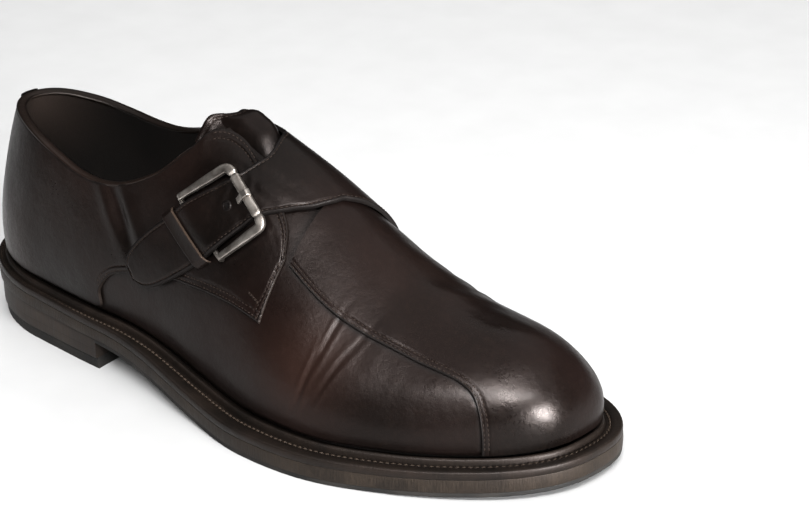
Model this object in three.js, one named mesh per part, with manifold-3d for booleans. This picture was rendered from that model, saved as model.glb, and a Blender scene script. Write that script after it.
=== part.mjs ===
// A monk strap shoe for the right foot: one hollow upper on a storm welt, with
// quarters, strap and buckle laid over it. Lengths are in millimetres, +Z is up,
// +X points to the toe and -Y to the outer (buckle) side of the foot.
import * as THREE from 'three';
import { mergeVertices } from 'three/addons/utils/BufferGeometryUtils.js';
import Module from 'manifold-3d';

const wasm = await Module();
wasm.setup();

// Overall sizes
const soleLength = 304;
const ballWidth = 108;
const heelWidth = 72;
const collarHeight = 88.5;
const instepHeight = 106.5;
const toeBoxHeight = 51;

// Sole and heel
const heelHeight = 12;
const heelRise = 1.9;
const heelLength = 90;
const topLiftThickness = 4.5;
const heelTaper = 1.4;
const breastHollow = 2.5;
const toeSpring = 3.8;
const rubberThickness = 1.6;
const outsoleThickness = 5;
const weltThickness = 3.15;
const waistThinning = 0.9;
const edgeRounding = 0.7;
const heelRoundLength = 48;
const heelRoundPower = 1.95;
const toeRoundLength = 74.5;
const toeRoundPower = 2.46;
const beadHeight = 2.3;
const beadWidth = 2.4;
const grooveDepth = 0.9;
const weltTuck = 9;
const insoleThickness = 3;
const clearance = 0.3;
const layGap = 0.4;
const panelGap = 0.5;

// Upper, straps and buckle
const wall = 2.2;
const overlayThickness = 1.2;
const strapThickness = 1.8;
const tongueThickness = 2;
const tongueRise = 6.6;
const tongueCrest = 0.05;
const tongueReach = 0.21;
const tongueLip = 1.8;
const stripThickness = 1;
const stripShare = 0.032;
const panelThickness = 0.9;
const keeperThickness = 1.2;
const keeperShare = 0.831;
const keeperWidth = 6;
const heelPivot = 46;
const toePivot = 42;
const throatFront = 174;
const throatHalfWidth = 8.5;
const frameWidth = 3.8;
const frameHeight = 2.4;
const hingeThickness = 1.6;
const prongWidth = 3.2;
const prongThickness = 1.6;

// Sole half widths and centre line: share of the length, outer side and inner side
// as shares of half the ball width, centre line as a share of the ball width.
const soleTable = [
  { at: 0.00, outer: 0.630, inner: 0.667, centre: 0.000 },
  { at: 0.12, outer: 0.667, inner: 0.685, centre: 0.000 },
  { at: 0.25, outer: 0.730, inner: 0.639, centre: 0.000 },
  { at: 0.38, outer: 0.785, inner: 0.546, centre: 0.000 },
  { at: 0.50, outer: 0.900, inner: 0.619, centre: 0.000 },
  { at: 0.62, outer: 1.015, inner: 0.861, centre: 0.000 },
  { at: 0.72, outer: 1.020, inner: 0.978, centre: 0.017 },
  { at: 0.82, outer: 0.911, inner: 0.976, centre: 0.051 },
  { at: 0.91, outer: 0.824, inner: 0.902, centre: 0.094 },
  { at: 1.00, outer: 0.763, inner: 0.800, centre: 0.137 },
];

// Distance from the sole's edge in to the upper, in mm, by share of the length.
const shelfTable = [
  { at: 0.00, outer: 5.2, inner: 5.2 },
  { at: 0.15, outer: 5.2, inner: 5.2 },
  { at: 0.30, outer: 6.5, inner: 6.0 },
  { at: 0.42, outer: 9.0, inner: 7.0 },
  { at: 0.55, outer: 10.0, inner: 8.5 },
  { at: 0.75, outer: 9.5, inner: 9.5 },
  { at: 1.00, outer: 9.0, inner: 9.0 },
];

// The last's ridge: share of the length, height as a share of the instep height,
// sideways place as a share of the ball width, and how square the section is.
const ridgeTable = [
  { at: 0.000, high: 1.190, aside: 0.000, square: 1.87 },
  { at: 0.200, high: 1.190, aside: 0.000, square: 1.87 },
  { at: 0.330, high: 1.160, aside: 0.000, square: 1.95 },
  { at: 0.411, high: 1.099, aside: 0.000, square: 1.95 },
  { at: 0.493, high: 1.000, aside: 0.000, square: 1.90 },
  { at: 0.576, high: 0.887, aside: 0.000, square: 1.85 },
  { at: 0.658, high: 0.746, aside: 0.018, square: 1.75 },
  { at: 0.730, high: 0.610, aside: 0.037, square: 1.85 },
];
const toeRidgeTable = [
  { at: 0.806, high: 1.078, aside: 0.065, square: 2.10 },
  { at: 0.882, high: 1.000, aside: 0.083, square: 2.40 },
  { at: 1.000, high: 0.882, aside: 0.102, square: 2.50 },
];

// How far the walls swell over the edge of the sole, in mm.
const swellTable = [
  { at: 0.00, out: 1.3 },
  { at: 0.08, out: 1.5 },
  { at: 0.25, out: 2.2 },
  { at: 0.40, out: 2.8 },
  { at: 0.55, out: 2.5 },
  { at: 0.85, out: 2.2 },
  { at: 1.00, out: 1.8 },
];

// Collar line: share of the length, height of each side as a share of the collar's.
const collarTable = [
  { at: 0.00, outer: 1.000, inner: 1.000 },
  { at: 0.05, outer: 1.005, inner: 1.005 },
  { at: 0.10, outer: 1.000, inner: 0.965 },
  { at: 0.15, outer: 0.975, inner: 0.920 },
  { at: 0.20, outer: 0.930, inner: 0.905 },
  { at: 0.25, outer: 0.892, inner: 0.915 },
  { at: 0.30, outer: 0.888, inner: 0.960 },
  { at: 0.33, outer: 0.906, inner: 1.000 },
  { at: 0.37, outer: 0.960, inner: 1.060 },
  { at: 0.40, outer: 1.020, inner: 1.110 },
  { at: 0.43, outer: 1.115, inner: 1.160 },
  { at: 0.46, outer: 1.200, inner: 1.210 },
  { at: 0.50, outer: 1.300, inner: 1.300 },
];

// Outlines of the laid-on leathers. Each row joins a low point to a high point:
// along is the share from heel to toe, round is -1 at the outer feather line,
// 0 on the ridge and +1 at the inner feather line. A null follows the collar.
const outerQuarterTable = [
  { lowAlong: 0.004, lowRound: -0.985, highAlong: 0.004, highRound: null },
  { lowAlong: 0.090, lowRound: -0.985, highAlong: 0.100, highRound: null },
  { lowAlong: 0.180, lowRound: -0.985, highAlong: 0.180, highRound: null },
  { lowAlong: 0.270, lowRound: -0.985, highAlong: 0.250, highRound: null },
  { lowAlong: 0.340, lowRound: -0.985, highAlong: 0.310, highRound: null },
  { lowAlong: 0.368, lowRound: -0.98, highAlong: 0.340, highRound: null },
  { lowAlong: 0.372, lowRound: -0.93, highAlong: 0.360, highRound: null },
  { lowAlong: 0.388, lowRound: -0.875, highAlong: 0.380, highRound: null },
  { lowAlong: 0.415, lowRound: -0.835, highAlong: 0.400, highRound: null },
  { lowAlong: 0.450, lowRound: -0.780, highAlong: 0.425, highRound: null },
  { lowAlong: 0.485, lowRound: -0.735, highAlong: 0.445, highRound: null },
  { lowAlong: 0.515, lowRound: -0.700, highAlong: 0.462, highRound: -0.205 },
  { lowAlong: 0.535, lowRound: -0.680, highAlong: 0.490, highRound: -0.150 },
  { lowAlong: 0.552, lowRound: -0.668, highAlong: 0.525, highRound: -0.195 },
  { lowAlong: 0.566, lowRound: -0.662, highAlong: 0.571, highRound: -0.290 },
  { lowAlong: 0.574, lowRound: -0.660, highAlong: 0.584, highRound: -0.415 },
];
const innerQuarterTable = [
  { lowAlong: 0.004, lowRound: 0.985, highAlong: 0.004, highRound: null },
  { lowAlong: 0.090, lowRound: 0.985, highAlong: 0.090, highRound: null },
  { lowAlong: 0.180, lowRound: 0.985, highAlong: 0.170, highRound: null },
  { lowAlong: 0.270, lowRound: 0.985, highAlong: 0.240, highRound: null },
  { lowAlong: 0.340, lowRound: 0.985, highAlong: 0.300, highRound: null },
  { lowAlong: 0.368, lowRound: 0.98, highAlong: 0.330, highRound: null },
  { lowAlong: 0.372, lowRound: 0.93, highAlong: 0.350, highRound: null },
  { lowAlong: 0.388, lowRound: 0.875, highAlong: 0.370, highRound: null },
  { lowAlong: 0.415, lowRound: 0.835, highAlong: 0.390, highRound: null },
  { lowAlong: 0.460, lowRound: 0.765, highAlong: 0.410, highRound: null },
  { lowAlong: 0.515, lowRound: 0.700, highAlong: 0.430, highRound: null },
  { lowAlong: 0.574, lowRound: 0.660, highAlong: 0.452, highRound: 0.300 },
  { lowAlong: 0.592, lowRound: 0.500, highAlong: 0.480, highRound: 0.210 },
  { lowAlong: 0.604, lowRound: 0.305, highAlong: 0.505, highRound: 0.120 },
  { lowAlong: 0.613, lowRound: 0.030, highAlong: 0.521, highRound: -0.060 },
  { lowAlong: 0.596, lowRound: -0.140, highAlong: 0.523, highRound: -0.140 },
  { lowAlong: 0.573, lowRound: -0.250, highAlong: 0.516, highRound: -0.220 },
  { lowAlong: 0.546, lowRound: -0.360, highAlong: 0.505, highRound: -0.310 },
  { lowAlong: 0.528, lowRound: -0.470, highAlong: 0.486, highRound: -0.420 },
  { lowAlong: 0.512, lowRound: -0.565, highAlong: 0.466, highRound: -0.520 },
  { lowAlong: 0.496, lowRound: -0.640, highAlong: 0.450, highRound: -0.600 },
  { lowAlong: 0.473, lowRound: -0.730, highAlong: 0.431, highRound: -0.680 },
  { lowAlong: 0.452, lowRound: -0.800, highAlong: 0.418, highRound: -0.740 },
  { lowAlong: 0.437, lowRound: -0.832, highAlong: 0.412, highRound: -0.780 },
  { lowAlong: 0.422, lowRound: -0.840, highAlong: 0.412, highRound: -0.815 },
];

// How high the ribbon of the inner quarter and strap lies, by share of its length:
// 0 on the upper, 1 on top of the outer quarter, 2 over the buckle's hinge bar.
const ribbonLevelTable = [
  { at: 0.00, level: 0 },
  { at: 0.44, level: 0 },
  { at: 0.54, level: 1 },
  { at: 0.73, level: 1 },
  { at: 0.795, level: 1.7 },
  { at: 0.84, level: 1 },
  { at: 0.90, level: 1 },
  { at: 1.00, level: 1 },
];

// The raised middle panel of the vamp, between its two lapped seams. Each row runs
// from seam to seam through its middle: up to 1 that is a place along the ridge,
// and past 1 the row goes round the front of the toe, that far down to the welt.
const vampPanelTable = [
  { outerAlong: 0.590, outerRound: -0.425, innerAlong: 0.607, innerRound: 0.425, middle: 0.602 },
  { outerAlong: 0.631, outerRound: -0.445, innerAlong: 0.642, innerRound: 0.430, middle: 0.645 },
  { outerAlong: 0.683, outerRound: -0.445, innerAlong: 0.690, innerRound: 0.430, middle: 0.710 },
  { outerAlong: 0.736, outerRound: -0.455, innerAlong: 0.742, innerRound: 0.440, middle: 0.790 },
  { outerAlong: 0.788, outerRound: -0.510, innerAlong: 0.792, innerRound: 0.500, middle: 0.900 },
  { outerAlong: 0.813, outerRound: -0.590, innerAlong: 0.815, innerRound: 0.590, middle: 1.060 },
  { outerAlong: 0.821, outerRound: -0.710, innerAlong: 0.823, innerRound: 0.710, middle: 1.400 },
  { outerAlong: 0.823, outerRound: -0.850, innerAlong: 0.826, innerRound: 0.850, middle: 1.700 },
  { outerAlong: 0.823, outerRound: -0.990, innerAlong: 0.826, innerRound: 0.990, middle: 1.985 },
];

// Corners of the buckle on the outer side, in the same two shares.
const buckle = {
  highFront: { along: 0.498, round: -0.300 },
  lowFront: { along: 0.556, round: -0.372 },
  lowBack: { along: 0.518, round: -0.585 },
  highBack: { along: 0.457, round: -0.535 },
};

const leatherColour = 0x2b1e1a;
const material = {
  leather: new THREE.MeshStandardMaterial({ color: leatherColour, roughness: 0.42 }),
  lining: new THREE.MeshStandardMaterial({ color: 0x14110f, roughness: 0.8 }),
  soleEdge: new THREE.MeshStandardMaterial({ color: 0x3c322b, roughness: 0.6 }),
  rubber: new THREE.MeshStandardMaterial({ color: 0x151413, roughness: 0.85 }),
  metal: new THREE.MeshStandardMaterial({ color: 0xb4aea6, roughness: 0.35, metalness: 1 }),
};

// A smooth curve through one column of a table, read at a share.
function read(table, column, share) {
  const last = table.length - 1;
  let k = 0;
  while (k < last - 1 && share > table[k + 1].at) k += 1;
  const step = table[k + 1].at - table[k].at;
  const t = (share - table[k].at) / step;
  const slope = (i) => {
    const rise = (j) => (table[j + 1][column] - table[j][column]) / (table[j + 1].at - table[j].at);
    if (i === 0) return rise(0);
    if (i === last) return rise(last - 1);
    const before = table[i].at - table[i - 1].at;
    const after = table[i + 1].at - table[i].at;
    return (rise(i - 1) * after + rise(i) * before) / (before + after);
  };
  const a = table[k][column];
  const b = table[k + 1][column];
  const ramp = t * t * (3 - 2 * t);
  const enter = t * (1 - t) * (1 - t) * step * slope(k);
  const leave = t * t * (t - 1) * step * slope(k + 1);
  return a + (b - a) * ramp + enter + leave;
}

const clamp = (value) => Math.min(1, Math.max(0, value));
const mix = (a, b, t) => a + (b - a) * t;

// Share of the length at a step along the last: close steps at heel and toe.
const lengthShare = (along) => (1 - Math.cos(Math.PI * along)) / 2;

const sideName = (side) => (side < 0 ? 'outer' : 'inner');

// A point of the sole's outline: half width times a rounded end at heel and toe.
function soleEdge(along, side) {
  const share = lengthShare(along);
  const x = soleLength * share;
  const heelReach = clamp((heelRoundLength - x) / heelRoundLength);
  const toeReach = clamp((x - soleLength + toeRoundLength) / toeRoundLength);
  const heelCap = (1 - heelReach ** heelRoundPower) ** (1 / heelRoundPower);
  const toeCap = (1 - toeReach ** toeRoundPower) ** (1 / toeRoundPower);
  const widest = mix(heelWidth * 1.5, ballWidth, clamp((share - 0.25) / 0.35));
  const half = read(soleTable, sideName(side), share) * widest * 0.5;
  const centre = read(soleTable, 'centre', share) * ballWidth;
  return new THREE.Vector2(x, centre + side * half * heelCap * toeCap);
}

// The same outline moved in by a distance, square to itself.
function insetEdge(along, side, distance) {
  const point = soleEdge(along, side);
  if (along < 1e-6) return point.add(new THREE.Vector2(distance, 0));
  if (along > 1 - 1e-6) return point.add(new THREE.Vector2(-distance, 0));
  const reach = 1e-3;
  const before = soleEdge(Math.max(along - reach, 0), side);
  const after = soleEdge(Math.min(along + reach, 1), side);
  const run = after.sub(before).normalize();
  return point.add(new THREE.Vector2(run.y * side, -run.x * side).multiplyScalar(distance));
}

// Underside of the rubber and leather sole: heel seat, arch, tread and toe spring.
function soleBottom(x) {
  const share = x / soleLength;
  const archEnd = 0.6 * soleLength;
  const arch = 0.5 + 0.5 * Math.cos(Math.PI * clamp((x - heelLength) / (archEnd - heelLength)));
  const spring = toeSpring * clamp((share - 0.7) / 0.3) ** 2;
  const back = heelRise * (1 - clamp(share / 0.3));
  return heelHeight * arch + spring + back;
}

// Top of the welt, thinner through the waist.
const layers = rubberThickness + outsoleThickness + weltThickness + 2 * clearance;
function weltTop(x) {
  const share = x / soleLength;
  const waist = waistThinning * clamp(share / 0.3) * (1 - clamp((share - 0.3) / 0.3));
  return soleBottom(x) + layers - waist;
}

const shelf = (along, side) => read(shelfTable, sideName(side), lengthShare(along));
const feather = (along, side) => insetEdge(along, side, shelf(along, side));
const featherHeight = (x) => weltTop(x) + beadHeight + clearance;

// Height, sideways place and squareness of the ridge at a place along the shoe.
const wholeRidge = [
  ...ridgeTable.map((row) => ({ ...row, high: row.high * instepHeight, aside: row.aside * ballWidth })),
  ...toeRidgeTable.map((row) => ({ ...row, high: row.high * toeBoxHeight, aside: row.aside * ballWidth })),
];
const ridge = (column, x) => read(wholeRidge, column, x / soleLength);

// The last: each section runs from the feather line up to the ridge as a quarter
// of a superellipse, and the walls swell a little above the sole.
function lastPoint(along, round) {
  const side = round < 0 ? -1 : 1;
  const climb = clamp(1 - Math.abs(round)) * Math.PI / 2;
  const foot = feather(along, side);
  const target = heelPivot + (soleLength - toePivot - heelPivot) * lengthShare(along);
  const aside = ridge('aside', target);
  const power = 2 / ridge('square', target);
  const inward = 1 - Math.max(Math.cos(climb), 0) ** power;
  const upward = Math.max(Math.sin(climb), 0) ** power;
  let x = mix(foot.x, target, inward);
  let y = mix(foot.y, aside, inward);
  const low = featherHeight(foot.x);
  const z = mix(low, ridge('high', x), upward);
  const swellHeight = 0.66 * instepHeight;
  const rise = clamp((z - low) / swellHeight);
  const swell = read(swellTable, 'out', lengthShare(along)) * 8.1 * rise * (1 - rise) ** 2.5;
  const out = new THREE.Vector2(foot.x - target, foot.y - aside).normalize();
  x += out.x * swell;
  y += out.y * swell;
  return new THREE.Vector3(x, y, z);
}

function oneNormal(along, round) {
  const reach = 2e-3;
  const middle = Math.min(Math.max(along, 2 * reach), 1 - 2 * reach);
  const ahead = lastPoint(middle + reach, round).sub(lastPoint(middle - reach, round));
  const over = lastPoint(along, Math.min(round + reach, 1)).sub(lastPoint(along, Math.max(round - reach, -1)));
  return ahead.cross(over).normalize();
}

// Outward direction of the last; at the back and toe both sides share one.
function lastNormal(along, round) {
  const normal = oneNormal(along, round);
  if (along < 1e-6 || along > 1 - 1e-6) normal.add(oneNormal(along, -round)).normalize();
  return normal;
}

const lay = (along, round, height) => lastPoint(along, round).addScaledVector(lastNormal(along, round), height);

// Collar height over a plan point, blended from the outer to the inner side.
function collarZ(x, y) {
  const share = x / soleLength;
  const blend = 0.5 + 0.5 * Math.sin(Math.PI / 2 * Math.min(Math.max(y / (0.25 * heelWidth), -1), 1));
  return collarHeight * mix(read(collarTable, 'outer', share), read(collarTable, 'inner', share), blend);
}

// Where the collar line crosses a section, found by halving.
function roundAtCollar(along, side, height) {
  let low = 1;
  let high = 0.05;
  for (let step = 0; step < 30; step += 1) {
    const middle = (low + high) / 2;
    const point = lay(along, side * middle, height);
    if (point.z < collarZ(point.x, point.y) - clearance) low = middle;
    else high = middle;
  }
  return side * low;
}

// One closed solid from quads and triangles over a list of points.
function solid(points, faces) {
  const geometry = new THREE.BufferGeometry();
  geometry.setAttribute('position', new THREE.Float32BufferAttribute(points.flatMap((p) => [p.x, p.y, p.z]), 3));
  geometry.setIndex(faces.flatMap((f) => (f.length === 4 ? [f[0], f[1], f[2], f[0], f[2], f[3]] : f)));
  return mergeVertices(geometry, 1e-4);
}

function toManifold(geometry) {
  const mesh = new wasm.Mesh({
    numProp: 3,
    vertProperties: new Float32Array(geometry.attributes.position.array),
    triVerts: new Uint32Array(cleanIndex(geometry)),
  });
  return new wasm.Manifold(mesh);
}

// Triangles that have not shrunk to a line after their corners were merged.
function cleanIndex(geometry) {
  const index = geometry.index.array;
  const kept = [];
  for (let i = 0; i < index.length; i += 3) {
    const [a, b, c] = [index[i], index[i + 1], index[i + 2]];
    if (a !== b && b !== c && c !== a) kept.push(a, b, c);
  }
  return kept;
}

function fromManifold(body) {
  const mesh = body.getMesh();
  const geometry = new THREE.BufferGeometry();
  geometry.setAttribute('position', new THREE.Float32BufferAttribute(mesh.vertProperties, 3));
  geometry.setIndex(Array.from(mesh.triVerts));
  return geometry;
}

// Steps from heel to toe in every layer of the sole, so that their faces agree.
const ringSteps = 36;

// The way round the shoe: outer side from heel to toe, then inner side back.
function wayRound(steps) {
  const way = [];
  for (let i = 0; i <= steps; i += 1) way.push({ along: i / steps, side: -1 });
  for (let i = steps - 1; i > 0; i -= 1) way.push({ along: i / steps, side: 1 });
  return way;
}

// Rows of points that all follow the way round, joined into rings.
function ringFaces(rowCount, count, closed) {
  const faces = [];
  const last = closed ? rowCount : rowCount - 1;
  for (let row = 0; row < last; row += 1) {
    const next = (row + 1) % rowCount;
    for (let i = 0; i < count; i += 1) {
      const j = (i + 1) % count;
      faces.push([row * count + i, row * count + j, next * count + j, next * count + i]);
    }
  }
  return faces;
}

// Strips straight across from the outer to the inner side, to close a row.
function capFaces(start, steps, upward) {
  const count = 2 * steps;
  const faces = [];
  for (let i = 0; i < steps; i += 1) {
    const a = start + i;
    const b = start + i + 1;
    const c = start + (count - i - 1);
    const d = start + (count - i) % count;
    const quad = i === steps - 1 ? [a, b, d] : i === 0 ? [a, b, c] : [a, b, c, d];
    faces.push(upward ? quad : quad.reverse());
  }
  return faces;
}

// A layer of the sole: rows of inset and height from its underside to its top.
function slab(rows, steps = ringSteps) {
  const way = wayRound(steps);
  const points = rows.flatMap((row) => way.map(({ along, side }) => {
    const p = insetEdge(along, side, row.inset(along, side));
    return new THREE.Vector3(p.x, p.y, row.z(p.x));
  }));
  const faces = [
    ...ringFaces(rows.length, way.length, false),
    ...capFaces(0, steps, false),
    ...capFaces((rows.length - 1) * way.length, steps, true),
  ];
  return solid(points, faces);
}

// Block used to cut across the shoe: everything ahead of, or behind, one place.
function crossBlock(from, to, hollow) {
  const shape = new THREE.Shape();
  const side = ballWidth;
  shape.moveTo(from, -side);
  shape.lineTo(to, -side);
  shape.lineTo(to, side);
  shape.lineTo(from, side);
  if (hollow > 0) {
    shape.lineTo(from, heelWidth * 0.6);
    shape.quadraticCurveTo(from - 2 * hollow, 0, from, -heelWidth * 0.6);
  }
  const block = new THREE.ExtrudeGeometry(shape, { depth: 4 * collarHeight, bevelEnabled: false, curveSegments: 8 });
  block.deleteAttribute('normal');
  block.deleteAttribute('uv');
  block.translate(0, 0, -collarHeight);
  return toManifold(mergeVertices(block, 1e-4));
}

function outsole() {
  const low = (x) => soleBottom(x) + rubberThickness + clearance;
  const high = (x) => soleBottom(x) + rubberThickness + clearance + outsoleThickness - waistCut(x);
  return slab([
    { inset: () => edgeRounding, z: low },
    { inset: () => 0, z: (x) => low(x) + edgeRounding },
    { inset: () => 0, z: high },
  ]);
}

// What the waist's thinning takes off the leather outsole at a place.
const waistCut = (x) => soleBottom(x) + layers - weltTop(x);

function rubberSole() {
  const body = toManifold(slab([
    { inset: () => 2 * edgeRounding, z: soleBottom },
    { inset: () => edgeRounding, z: (x) => soleBottom(x) + 0.5 * rubberThickness },
    { inset: () => edgeRounding, z: (x) => soleBottom(x) + rubberThickness },
  ]));
  return fromManifold(body.subtract(crossBlock(-soleLength, heelLength + clearance, 0)));
}

// Heel layers taper to the back and sides and end at a hollowed breast.
function heelLayer(low, high) {
  const inset = (share) => () => edgeRounding + heelTaper * share;
  const lowShare = low === 0 ? 1 : 1 - topLiftThickness / heelHeight;
  const highShare = low === 0 ? 1 - topLiftThickness / heelHeight : 0;
  const body = toManifold(slab([
    { inset: inset(lowShare), z: () => low },
    { inset: inset(highShare), z: high },
  ]));
  return fromManifold(body.subtract(crossBlock(heelLength, 2 * soleLength, breastHollow)));
}

const topLift = () => heelLayer(0, () => topLiftThickness);
function heelStack() {
  const seat = (x) => soleBottom(Math.min(x, heelLength)) + rubberThickness;
  return heelLayer(topLiftThickness + clearance, seat);
}

// The storm welt: a shelf, a stitch groove, and a bead that hugs the upper.
function welt() {
  const way = wayRound(ringSteps);
  const edge = (along, side) => shelf(along, side);
  const groove = (along, side) => edge(along, side) - beadWidth - 0.4;
  const under = (x) => weltTop(x) - weltThickness;
  const rows = [
    { inset: () => 0, z: under },
    { inset: () => 0, z: (x) => weltTop(x) - edgeRounding },
    { inset: () => edgeRounding, z: weltTop },
    { inset: (a, s) => groove(a, s) - grooveDepth, z: weltTop },
    { inset: groove, z: (x) => weltTop(x) - grooveDepth },
    { inset: (a, s) => groove(a, s) + 0.4, z: (x) => weltTop(x) + 0.5 * beadHeight },
    { inset: (a, s) => edge(a, s) - 0.5 * beadWidth, z: (x) => weltTop(x) + beadHeight },
    { inset: (a, s) => edge(a, s) - 0.1 * beadWidth, z: (x) => weltTop(x) + 0.7 * beadHeight },
    { inset: edge, z: weltTop },
    { inset: (a, s) => edge(a, s) + weltTuck, z: weltTop },
    { inset: (a, s) => edge(a, s) + weltTuck, z: under },
  ];
  const points = rows.flatMap((row) => way.map(({ along, side }) => {
    const p = insetEdge(along, side, row.inset(along, side));
    return new THREE.Vector3(p.x, p.y, row.z(p.x));
  }));
  return solid(points, ringFaces(rows.length, way.length, true));
}

function insole() {
  const inset = (along, side) => shelf(along, side) + wall + 2 * clearance;
  return slab([
    { inset, z: (x) => weltTop(x) + clearance },
    { inset, z: (x) => weltTop(x) + clearance + insoleThickness },
  ]);
}

// A closed body of the last at one height off its surface, down to a floor.
function lastBody(height, drop, steps, climbs) {
  const way = wayRound(steps);
  const points = [];
  for (const { along, side } of way) {
    const foot = lay(along, side, height);
    points.push(new THREE.Vector3(foot.x, foot.y, weltTop(foot.x) + drop));
  }
  for (const climb of climbs) {
    for (const { along, side } of way) points.push(lay(along, side * (1 - climb), height));
  }
  const rows = climbs.length + 1;
  const faces = [...ringFaces(rows, way.length, false), ...capFaces(0, steps, false)];
  return toManifold(solid(points, faces));
}

// Everything above the collar line, as one block with a shaped underside.
function collarCutter() {
  const across = 12;
  const alongSteps = 44;
  const front = 0.5 * soleLength;
  const points = [];
  for (let level = 0; level < 2; level += 1) {
    for (let i = 0; i <= alongSteps; i += 1) {
      for (let j = 0; j <= across; j += 1) {
        const x = mix(-0.05 * soleLength, front, i / alongSteps);
        const y = mix(-0.5 * ballWidth, 0.5 * ballWidth, j / across);
        points.push(new THREE.Vector3(x, y, level === 0 ? collarZ(Math.max(x, 0), y) : 2 * instepHeight));
      }
    }
  }
  return toManifold(solid(points, blockFaces(alongSteps, across)));
}

// Faces of a block whose underside and top are grids with the same steps.
function blockFaces(m, n) {
  const at = (level, i, j) => level * (m + 1) * (n + 1) + i * (n + 1) + j;
  const faces = [];
  for (let i = 0; i < m; i += 1) {
    for (let j = 0; j < n; j += 1) {
      faces.push([at(0, i, j), at(0, i, j + 1), at(0, i + 1, j + 1), at(0, i + 1, j)]);
      faces.push([at(1, i, j), at(1, i + 1, j), at(1, i + 1, j + 1), at(1, i, j + 1)]);
    }
  }
  for (let i = 0; i < m; i += 1) {
    faces.push([at(0, i, 0), at(0, i + 1, 0), at(1, i + 1, 0), at(1, i, 0)]);
    faces.push([at(0, i, n), at(1, i, n), at(1, i + 1, n), at(0, i + 1, n)]);
  }
  for (let j = 0; j < n; j += 1) {
    faces.push([at(0, 0, j), at(1, 0, j), at(1, 0, j + 1), at(0, 0, j + 1)]);
    faces.push([at(0, m, j), at(0, m, j + 1), at(1, m, j + 1), at(1, m, j)]);
  }
  return faces;
}

// The throat: a round-ended slot between the two quarters, over the tongue.
function throatCutter() {
  const back = 0.36 * soleLength;
  const shape = new THREE.Shape();
  shape.moveTo(back, -throatHalfWidth);
  shape.lineTo(throatFront - throatHalfWidth, -throatHalfWidth);
  shape.absarc(throatFront - throatHalfWidth, 0, throatHalfWidth, -Math.PI / 2, Math.PI / 2, false);
  shape.lineTo(back, throatHalfWidth);
  const slot = new THREE.ExtrudeGeometry(shape, { depth: instepHeight, bevelEnabled: false, curveSegments: 6 });
  slot.deleteAttribute('normal');
  slot.deleteAttribute('uv');
  slot.translate(0, 0, 0.7 * instepHeight);
  return toManifold(mergeVertices(slot, 1e-4));
}

function upper() {
  const climbs = [0, 0.06, 0.14, 0.24, 0.34, 0.44, 0.54, 0.64, 0.74, 0.84, 0.92, 1];
  const outside = lastBody(0, clearance, ringSteps, climbs);
  const inside = lastBody(-wall, -2 * beadHeight, 26, climbs);
  return fromManifold(outside.subtract(inside).subtract(collarCutter()).subtract(throatCutter()));
}

// A sheet laid on the last: place gives along and round, level gives its underside
// and thickness, both read at two shares of the sheet.
function sheet(m, n, place, level) {
  const points = [];
  for (let layer = 0; layer < 2; layer += 1) {
    for (let i = 0; i <= m; i += 1) {
      for (let j = 0; j <= n; j += 1) {
        const { along, round } = place(i / m, j / n);
        const { low, thick } = level(i / m, j / n);
        points.push(lay(along, round, low + layer * thick));
      }
    }
  }
  return solid(points, blockFaces(m, n));
}

// The same solid with its faces turned over, for a sheet that runs the other way.
const turned = (geometry) => {
  const flipped = geometry.clone();
  const index = Array.from(flipped.index.array);
  for (let i = 0; i < index.length; i += 3) [index[i], index[i + 1]] = [index[i + 1], index[i]];
  flipped.setIndex(index);
  return flipped;
};

// Smooth rails through a table of low and high points, read at a share.
function rails(table, side, height) {
  const rows = table.map((row, i) => ({
    ...row,
    at: i / (table.length - 1),
    highRound: row.highRound ?? roundAtCollar(row.highAlong, side, height),
  }));
  return (share, up) => ({
    along: mix(read(rows, 'lowAlong', share), read(rows, 'highAlong', share), up),
    round: mix(read(rows, 'lowRound', share), read(rows, 'highRound', share), up),
  });
}

const quarterLow = layGap;
const quarterHigh = quarterLow + overlayThickness;

function outerQuarter() {
  const place = rails(outerQuarterTable, -1, quarterHigh);
  return sheet(30, 9, place, () => ({ low: quarterLow, thick: overlayThickness }));
}

// Height of the ribbon's underside over the last at a share of its run.
const hingeLift = hingeThickness + clearance;
function ribbonLow(share) {
  const level = read(ribbonLevelTable, 'level', share);
  const onQuarter = quarterHigh + layGap;
  if (level <= 1) return mix(quarterLow, onQuarter, clamp(level));
  return onQuarter + (level - 1) * hingeLift / 0.7;
}
const ribbonThick = (share) => mix(overlayThickness, strapThickness, clamp((share - 0.44) / 0.1));

function innerQuarterAndStrap() {
  const place = rails(innerQuarterTable, 1, quarterHigh);
  return turned(sheet(50, 8, place, (share) => ({ low: ribbonLow(share), thick: ribbonThick(share) })));
}

function vampPanel() {
  const rows = vampPanelTable.map((row, i) => ({ ...row, at: i / (vampPanelTable.length - 1) }));
  const place = (share, over) => {
    const middle = read(rows, 'middle', share);
    const toMiddle = 1 - Math.abs(2 * over - 1);
    const name = over > 0.5 ? 'inner' : 'outer';
    const down = (over > 0.5 ? 1 : -1) * Math.max(middle - 1, 0);
    return {
      along: mix(read(rows, `${name}Along`, share), Math.min(middle, 1), toMiddle),
      round: mix(read(rows, `${name}Round`, share), down, toMiddle),
    };
  };
  return sheet(18, 16, place, () => ({ low: panelGap, thick: panelThickness }));
}

const smooth = (value, from, to) => {
  const t = clamp((value - from) / (to - from));
  return t * t * (3 - 2 * t);
};

// The strap's rear edge over the instep: the step along the last at each round.
const strapRear = (round) => 0.519 - 0.75 * Math.max(round + 0.02, 0) ** 2;

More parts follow.
